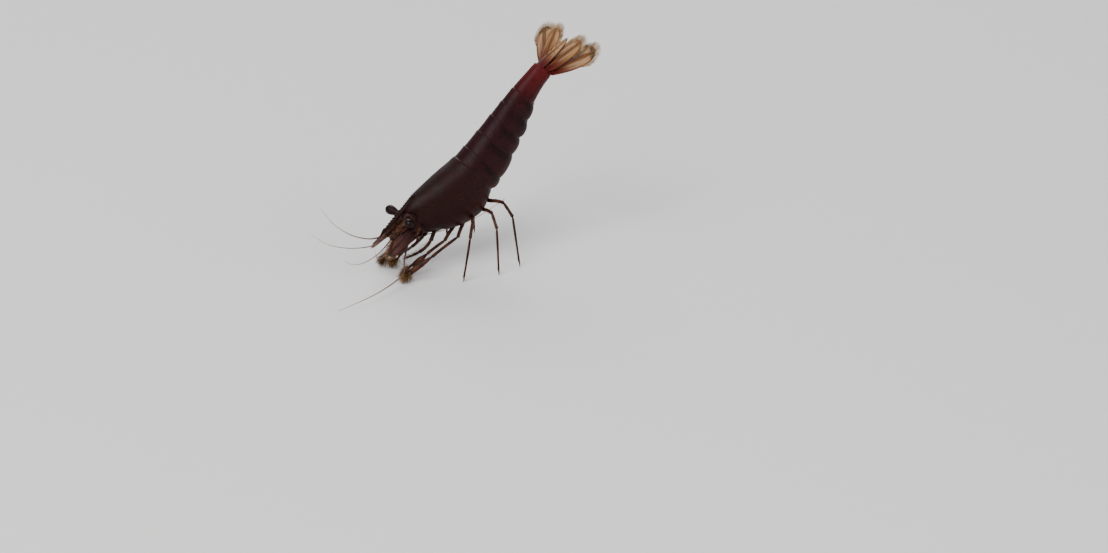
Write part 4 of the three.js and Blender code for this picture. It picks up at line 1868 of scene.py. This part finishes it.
@dataclass
class Leg:
    """A jointed leg of one side: claw-tipped in front, walking behind."""

    limb: Limb
    side: Side
    finish: Finish = field(default_factory=LimbFinish)

    def joints(self) -> list[Vector]:
        """Hip, knee, wrist and tip in body millimetres."""
        bends = (self.limb.knee, self.limb.wrist, self.limb.tip)
        return [self.side.at(*self.limb.hip), *(STANCE.above_floor(*self.side.at(*bend)) for bend in bends)]

    def build(self) -> bpy.types.Object:
        """Joints the leg.

        Returns:
            The leg in body millimetres.
        """
        hip, knee, wrist, tip = self.joints()
        inner = hip + Vector((0.0, -0.25 * self.side.value, 0.5))
        coxa, ischium = hip.lerp(knee, 0.1), hip.lerp(knee, 0.36)
        bow = STANCE.above_floor(0.0, 0.0, 1.0) - STANCE.above_floor(0.0, 0.0, 0.0)
        strands = [segment(inner, coxa, 0.3, 0.24), segment(coxa.lerp(ischium, 0.02), ischium, 0.2, 0.18)]
        strands.append(segment(ischium.lerp(knee, 0.01), knee, 0.18, 0.155, bow * 0.07))
        strands.append(segment(knee.lerp(wrist, 0.03), wrist, 0.14, 0.15, bow * 0.03))
        strands += self.claw(wrist, tip) if self.limb.clawed else self.foot(wrist, tip, bow)
        return rods(f"leg_{self.limb.number}_joints_{self.side.word}", strands, 3)

    def claw(self, wrist: Vector, tip: Vector) -> list[Strand]:
        """The palm with its two fingers, spooned at their ends.

        Args:
            wrist: Where the palm begins.
            tip: Where the fingers part.

        Returns:
            The palm and the fingers.
        """
        along = (tip - wrist).normalized()
        across = Vector((0.0, 1.0, 0.0)).cross(along).normalized()
        palm = self.limb.palm
        hand = Strand(
            [wrist.lerp(tip, u) for u in (0.0, 0.04, 0.15, 0.5, 0.85, 0.97, 1.03)],
            [0.07, 0.11, 0.15, palm, palm * 1.02, palm * 0.85, palm * 0.45],
        )
        radii = [radius for _, _, radius in FINGER_SHAPE]
        fingers = []
        for way in (-1, 1):
            points = [tip + along * x + across * (way * palm * y) for x, y, _ in FINGER_SHAPE]
            fingers.append(Strand(points, radii))
        return [hand, *fingers]

    def foot(self, wrist: Vector, tip: Vector, up: Vector) -> list[Strand]:
        """The long shin and the hooked toe that stands on the floor.

        Args:
            wrist: Where the shin begins.
            tip: The foot's place on the floor.
            up: Away from the floor.

        Returns:
            The shin, the toe and the toe's spines.
        """
        ankle = wrist.lerp(tip, 0.9) + up * 0.02
        along = (tip - wrist).normalized()
        hooked = ankle.lerp(tip, 0.35) + along.cross(Vector((0.0, 1.0, 0.0))) * 0.04
        toe = [ankle, hooked, ankle.lerp(tip, 0.75), tip + up * 0.02]
        strands = [
            segment(wrist.lerp(tip, 0.01), ankle, 0.12, 0.09, up.cross(along) * 0.05),
            Strand(toe, [0.07, 0.065, 0.04, 0.015]),
        ]
        for n in range(5):
            root = ankle.lerp(tip, 0.15 + 0.15 * n)
            strands.append(Strand([root, root - Vector((0.06, 0.0, 0.0)) + along * 0.06], [0.016, 0.004]))
        for n in range(7):
            root = wrist.lerp(tip, 0.18 + 0.1 * n)
            strands.append(Strand([root, root - Vector((0.14, 0.0, 0.0)) + along * 0.14], [0.018, 0.004]))
        return strands

    def dress(self, piece: bpy.types.Object) -> None:
        """Settles and dresses the leg."""
        settle(piece, "limbs", self.finish, [f"leg_{self.limb.number}_{self.side.word}"])

    def hairs(self) -> list[Bristle]:
        """Brushes on the claws' fingers, and fine bristles along the walking legs."""
        hip, knee, wrist, tip = self.joints()
        seed = 100 + 10 * self.limb.number
        down = STANCE.above_floor(0.0, 0.0, 0.0) - STANCE.above_floor(0.0, 0.0, 1.0)
        gathered = along_limb(hip.lerp(knee, 0.4), knee, 10, 0.22, seed, 0.15, down)
        if not self.limb.clawed:
            front = down + Vector((-1.0, 0.0, 0.0))
            gathered += along_limb(wrist, wrist.lerp(tip, 0.88), 22, 0.18, seed + 1, 0.1, front)
            return gathered
        along = (tip - wrist).normalized()
        across = Vector((0.0, 1.0, 0.0)).cross(along).normalized()
        for n, way in enumerate((-1, 1)):
            end = tip + along * 0.66 + across * (way * self.limb.palm * 0.35)
            middle = tip + along * 0.35 + across * (way * self.limb.palm * 0.6)
            gathered += brush(end, along + across * (way * 0.2), 130, 0.62, seed + 2 + n, 0.75, 0.24, 0.014)
            gathered += brush(middle, along * 0.8 + across * way, 60, 0.42, seed + 4 + n, 0.9, 0.22, 0.013)
        gathered += along_limb(knee, wrist, 8, 0.22, seed + 6, 0.14, down)
        return gathered


# ---- Swimmerets and tail fan ----


@dataclass
class Swimmeret:
    """One swimmeret: a flat stem and two fringed paddles, folded back under the pleon."""

    index: int
    side: Side
    finish: Finish = FanFinish(thin=0.1, blotted=0.0, amber="45201a", ray="240f0e")

    def ends(self) -> tuple[Vector, Vector, float]:
        """The root and tip, and the room across."""
        start = CARAPACE_REAR + sum(SOMITE_LENGTHS[: self.index])
        length = SOMITE_LENGTHS[self.index]
        middle = start + length / 2
        size = SHELL.at(middle)
        roof = size.edge + 0.4 * (size.top - size.edge) - 0.03
        room = size.half * math.sin(EDGE_ANGLE) - 0.51
        root = Vector((middle - 0.1, self.side.value * (room / 2 + 0.015), roof - 0.12))
        return root, root + Vector((0.66 * length, 0.0, size.edge - roof + 0.34)), room

    def blades(self) -> list[tuple[Leaf, Mount]]:
        """The two paddles and where they are hung."""
        root, tip, room = self.ends()
        knee = root.lerp(tip, 0.4)
        leaf = Leaf(width=max(room * 0.85, 0.3), wall=0.05, root=0.4, widest=0.5, rib=0.03, cells=(12, 6))
        face = Vector((1.0, 0.0, 1.0))
        inner = Mount(knee, tip + self.side.at(-0.12, -0.04, -0.02), face)
        outer = Mount(knee + self.side.at(0.05, 0.06, 0.08), tip + self.side.at(0.0, 0.1, 0.12), face)
        return [(leaf, inner), (leaf, outer)]

    def build(self) -> bpy.types.Object:
        """Shapes the stem and the paddles.

        Returns:
            The swimmeret in body millimetres.
        """
        root, tip, _ = self.ends()
        stem = rods("stem", [segment(root + Vector((-0.1, 0.0, 0.3)), root.lerp(tip, 0.45), 0.17, 0.14)], 3)
        paddles = [blade(f"paddle_{n}", leaf, mount) for n, (leaf, mount) in enumerate(self.blades())]
        return join(f"swimmeret_{self.index + 1}_{self.side.word}", [*paddles, stem])

    def dress(self, piece: bpy.types.Object) -> None:
        """Settles and dresses the swimmeret."""
        settle(piece, "fan", self.finish, [f"pleopod_{self.index + 1}_{self.side.word}"])

    def hairs(self) -> list[Bristle]:
        """The paddles' fringes."""
        gathered = []
        for n, (leaf, mount) in enumerate(self.blades()):
            gathered += fringe(leaf, mount, (0.25, 0.999), 22, 0.16, 200 + 4 * self.index + n, (-1, 1), 1.4)
        return gathered


@dataclass
class Uropod:
    """One blade of the tail fan with its thickened outer margin."""

    word: str
    side: Side
    splay: float
    length: float
    leaf: Leaf
    root: tuple[float, float, float]
    finish: Finish

    def mount(self) -> Mount:
        """Where the blade is hung."""
        sign = self.side.value
        turn = math.radians(self.splay)
        start = Vector((TAIL_BASE + 0.03 + self.root[0], sign * self.root[1], self.root[2]))
        way = Vector((math.cos(turn), sign * math.sin(turn), 0.0))
        return Mount(start, start + way * self.length, Vector((0.0, 0.1 * sign, 1.0)))

    def outer_way(self) -> int:
        """The sign of v on the margin away from the telson."""
        return 1 if self.mount().axes()[1].y * self.side.value > 0 else -1

    def build(self) -> bpy.types.Object:
        """Shapes the blade, its stiff outer margin and its stem.

        Returns:
            The blade in body millimetres.
        """
        mount = self.mount()
        along = mount.axes()[0]
        way = self.outer_way()
        places = [mount.point(self.leaf, u, way * 0.95) for u in (0.04, 0.2, 0.4, 0.58, 0.7)]
        rim = Strand([*places, places[-1] + along * 0.16], [0.06, 0.07, 0.065, 0.055, 0.045, 0.008])
        middle = [mount.point(self.leaf, u, 0.0) for u in (0.0, 0.2, 0.45, 0.7, 0.9)]
        rib = Strand(middle, [0.08, 0.07, 0.055, 0.04, 0.01])
        name = f"fan_{self.word}_{self.side.word}"
        inside = Vector((TAIL_BASE - 0.35, 0.35 * self.side.value, mount.root.z))
        stem = segment(inside, mount.root + along * 0.4, 0.2, 0.24)
        rods_on = [
            lay_grain(rods("rim", [rim], 2), 0.78, 0.01),
            lay_grain(rods("rib", [rib], 2), 0.9, 0.5),
            lay_grain(rods("stem", [stem], 4), 0.05, 0.3),
        ]
        return join(name, [blade(name, self.leaf, mount), *rods_on])

    def dress(self, piece: bpy.types.Object) -> None:
        """Settles and dresses the blade."""
        settle(piece, "fan", self.finish, [f"uropod_{self.word}_{self.side.word}"])

    def hairs(self) -> list[Bristle]:
        """The fringe round the end and down the inner margin."""
        mount, way = self.mount(), self.outer_way()
        return [
            *fringe(self.leaf, mount, (0.3, BLADE_END), 150, 0.62, 300, (-way,), 1.1, 0.017),
            *fringe(self.leaf, mount, (0.66, BLADE_END), 80, 0.62, 301, (way,), 1.1, 0.017),
        ]


@dataclass
class Telson:
    """The middle blade of the fan, keeled, with paired spines on its back and bristles at its end."""

    leaf: Leaf = Leaf(width=1.2, wall=0.14, root=0.86, widest=0.15, blunt=1.9, camber=0.16, rib=0.05)
    finish: Finish = FanFinish(thin=0.2, blotted=0.2, amber="b38a5e", root="451012")

    def mount(self) -> Mount:
        """Where the telson is hung."""
        root = Vector((TAIL_BASE - 0.3, 0.0, 0.84))
        return Mount(root, root + Vector((TELSON + 0.35, 0.0, -0.6)), Vector((0.0, 0.0, 1.0)))

    def build(self) -> bpy.types.Object:
        """Shapes the blade and sets the spines.

        Returns:
            The telson in body millimetres.
        """
        mount = self.mount()
        piece = blade("telson_blade", self.leaf, mount)
        spines = []
        for u in (0.38, 0.52, 0.66, 0.8):
            for v in (-0.5, 0.5):
                root = mount.point(self.leaf, u, v) + Vector((0.0, 0.0, 0.05))
                points = [root, root + Vector((0.07, 0.0, 0.045)), root + Vector((0.15, 0.0, 0.06))]
                spines.append(Strand(points, [0.026, 0.02, 0.004]))
        for v in (-0.75, -0.45, -0.15, 0.15, 0.45, 0.75):
            root = mount.point(self.leaf, 0.965 - 0.05 * abs(v), v * 0.8)
            points = [root, root + Vector((0.16, 0.03 * v, 0.0)), root + Vector((0.36, 0.07 * v, -0.01))]
            spines.append(Strand(points, [0.026, 0.018, 0.004]))
        return join("telson_blade", [piece, rods("spines", spines, 1)])

    def dress(self, piece: bpy.types.Object) -> None:
        """Settles and dresses the telson."""
        settle(piece, "tail_shell", self.finish, ["telson"])


def tail_fan() -> list[Uropod]:
    """The four side blades of the fan."""
    inner = Leaf(width=1.75, root=0.42, widest=0.6, blunt=2.3)
    outer = Leaf(width=1.98, root=0.4, widest=0.68, blunt=2.6)
    blades = []
    for side in Side:
        near, far = (21.0, 40.0) if side is Side.LEFT else (28.0, 52.0)
        blades.append(Uropod("inner", side, near, 4.2, inner, (0.0, 0.4, 0.22), FanFinish(blotted=0.45)))
        blades.append(Uropod("outer", side, far, 5.1, outer, (0.05, 0.55, -0.26), FanFinish(blotted=0.9)))
    return blades


@dataclass(frozen=True)
class Studio:
    """Floor, lights and camera."""

    azimuth: float = math.radians(-30.0)
    elevation: float = math.radians(25.0)
    distance: float = 0.42
    frame_width: float = 0.1007  # what the image spans at the shrimp, in metres
    tip_pixel: tuple[float, float] = (380.0, 236.0)  # where the rostrum's tip falls in the 1108 by 553 image
    image: tuple[int, int] = (1108, 553)

    def build(self) -> None:
        """Sets the floor, lights and camera."""
        self.floor()
        self.lights()
        self.camera()

    def floor(self) -> None:
        """Lays the pale floor."""
        bpy.ops.object.select_all(action="DESELECT")
        bpy.ops.mesh.primitive_plane_add(size=6.0, location=(0.0, 0.0, 0.0))
        sheet = bpy.context.object
        sheet.name = "studio_floor"
        sheet.data.materials.append(StudioFinish().material())

    def lights(self) -> None:
        """Hangs a broad soft key, a fill and a rim light round the shrimp."""
        plan = (
            ("key", (-0.25, -0.12, 0.35), 0.3, 2.4),
            ("fill", (0.25, -0.35, 0.2), 0.4, 1.0),
            ("rim", (0.15, 0.4, 0.3), 0.3, 1.6),
        )
        for name, place, size, power in plan:
            bpy.ops.object.light_add(type="AREA", location=place)
            lamp = bpy.context.object
            lamp.name = name
            lamp.data.size = size
            lamp.data.energy = power
            lamp.rotation_euler = (-Vector(place)).to_track_quat("-Z", "Y").to_euler()
        world = bpy.data.worlds.new("studio_air")
        world.use_nodes = True
        world.node_tree.nodes["Background"].inputs["Color"].default_value = (0.82, 0.84, 0.9, 1.0)
        world.node_tree.nodes["Background"].inputs["Strength"].default_value = 0.45
        bpy.context.scene.world = world

    def camera(self) -> None:
        """Aims a long lens so that the rostrum's tip falls on its pixel."""
        back = Vector((
            math.sin(self.azimuth) * math.cos(self.elevation),
            -math.cos(self.azimuth) * math.cos(self.elevation),
            math.sin(self.elevation),
        ))
        right = Vector((math.cos(self.azimuth), math.sin(self.azimuth), 0.0))
        up = back.cross(right)
        tip = STANCE.matrix() @ Vector((0.0, 0.0, ROSTRUM_TIP))
        scale = self.frame_width / self.image[0]
        aside = (self.image[0] / 2 - self.tip_pixel[0]) * scale
        below = (self.tip_pixel[1] - self.image[1] / 2) * scale
        aim = tip + right * aside + up * below
        bpy.ops.object.camera_add(location=aim + back * self.distance)
        camera = bpy.context.object
        camera.rotation_euler = back.to_track_quat("Z", "Y").to_euler()
        camera.data.sensor_width = 36.0
        camera.data.lens = 36.0 * self.distance / self.frame_width
        camera.data.clip_start = 0.01
        bpy.context.scene.camera = camera


STUDIO = Studio()


def gather(parts: Iterable[Any]) -> list[Bristle]:
    """The bristles of all the parts given."""
    return [hair for part in parts for hair in part.hairs()]


def main() -> None:
    """Builds the shrimp piece by piece, then the studio."""
    logging.basicConfig(level=logging.INFO, format="%(message)s")
    antennules = [Antennule(side) for side in Side]
    antennae = [Antenna(side) for side in Side]
    scales = [AntennalScale(side) for side in Side]
    mouths = [Mouth(side) for side in Side]
    legs = [Leg(limb, side) for limb in LIMBS for side in Side]
    swimmerets = [Swimmeret(index, side) for index in range(len(SOMITE_LENGTHS)) for side in Side]
    fan = tail_fan()
    parts = [
        Carapace(),
        Rostrum(),
        *(Tergite(index) for index in range(len(SOMITE_LENGTHS))),
        TailSomite(),
        Flesh(),
        *(Eye(side) for side in Side),
        *antennules,
        *(feeler for stem in antennules for feeler in stem.feelers()),
        *antennae,
        *(antenna.feeler() for antenna in antennae),
        *scales,
        *mouths,
        *legs,
        *swimmerets,
        Telson(),
        *fan,
    ]
    for part in parts:
        part.dress(part.build())
    tufts = (
        Bristles("head_bristles", gather((*antennules, *scales, *mouths))),
        Bristles("leg_bristles", gather(legs)),
        Bristles("swimmeret_bristles", gather(swimmerets), "fan"),
        Bristles("fan_bristles", gather(fan), "fan", BristleFinish("a98a62", "7d5c3c", 0.6)),
    )
    for tuft in tufts:
        tuft.dress(tuft.build())
    STUDIO.build()


if __name__ == "__main__":
    main()
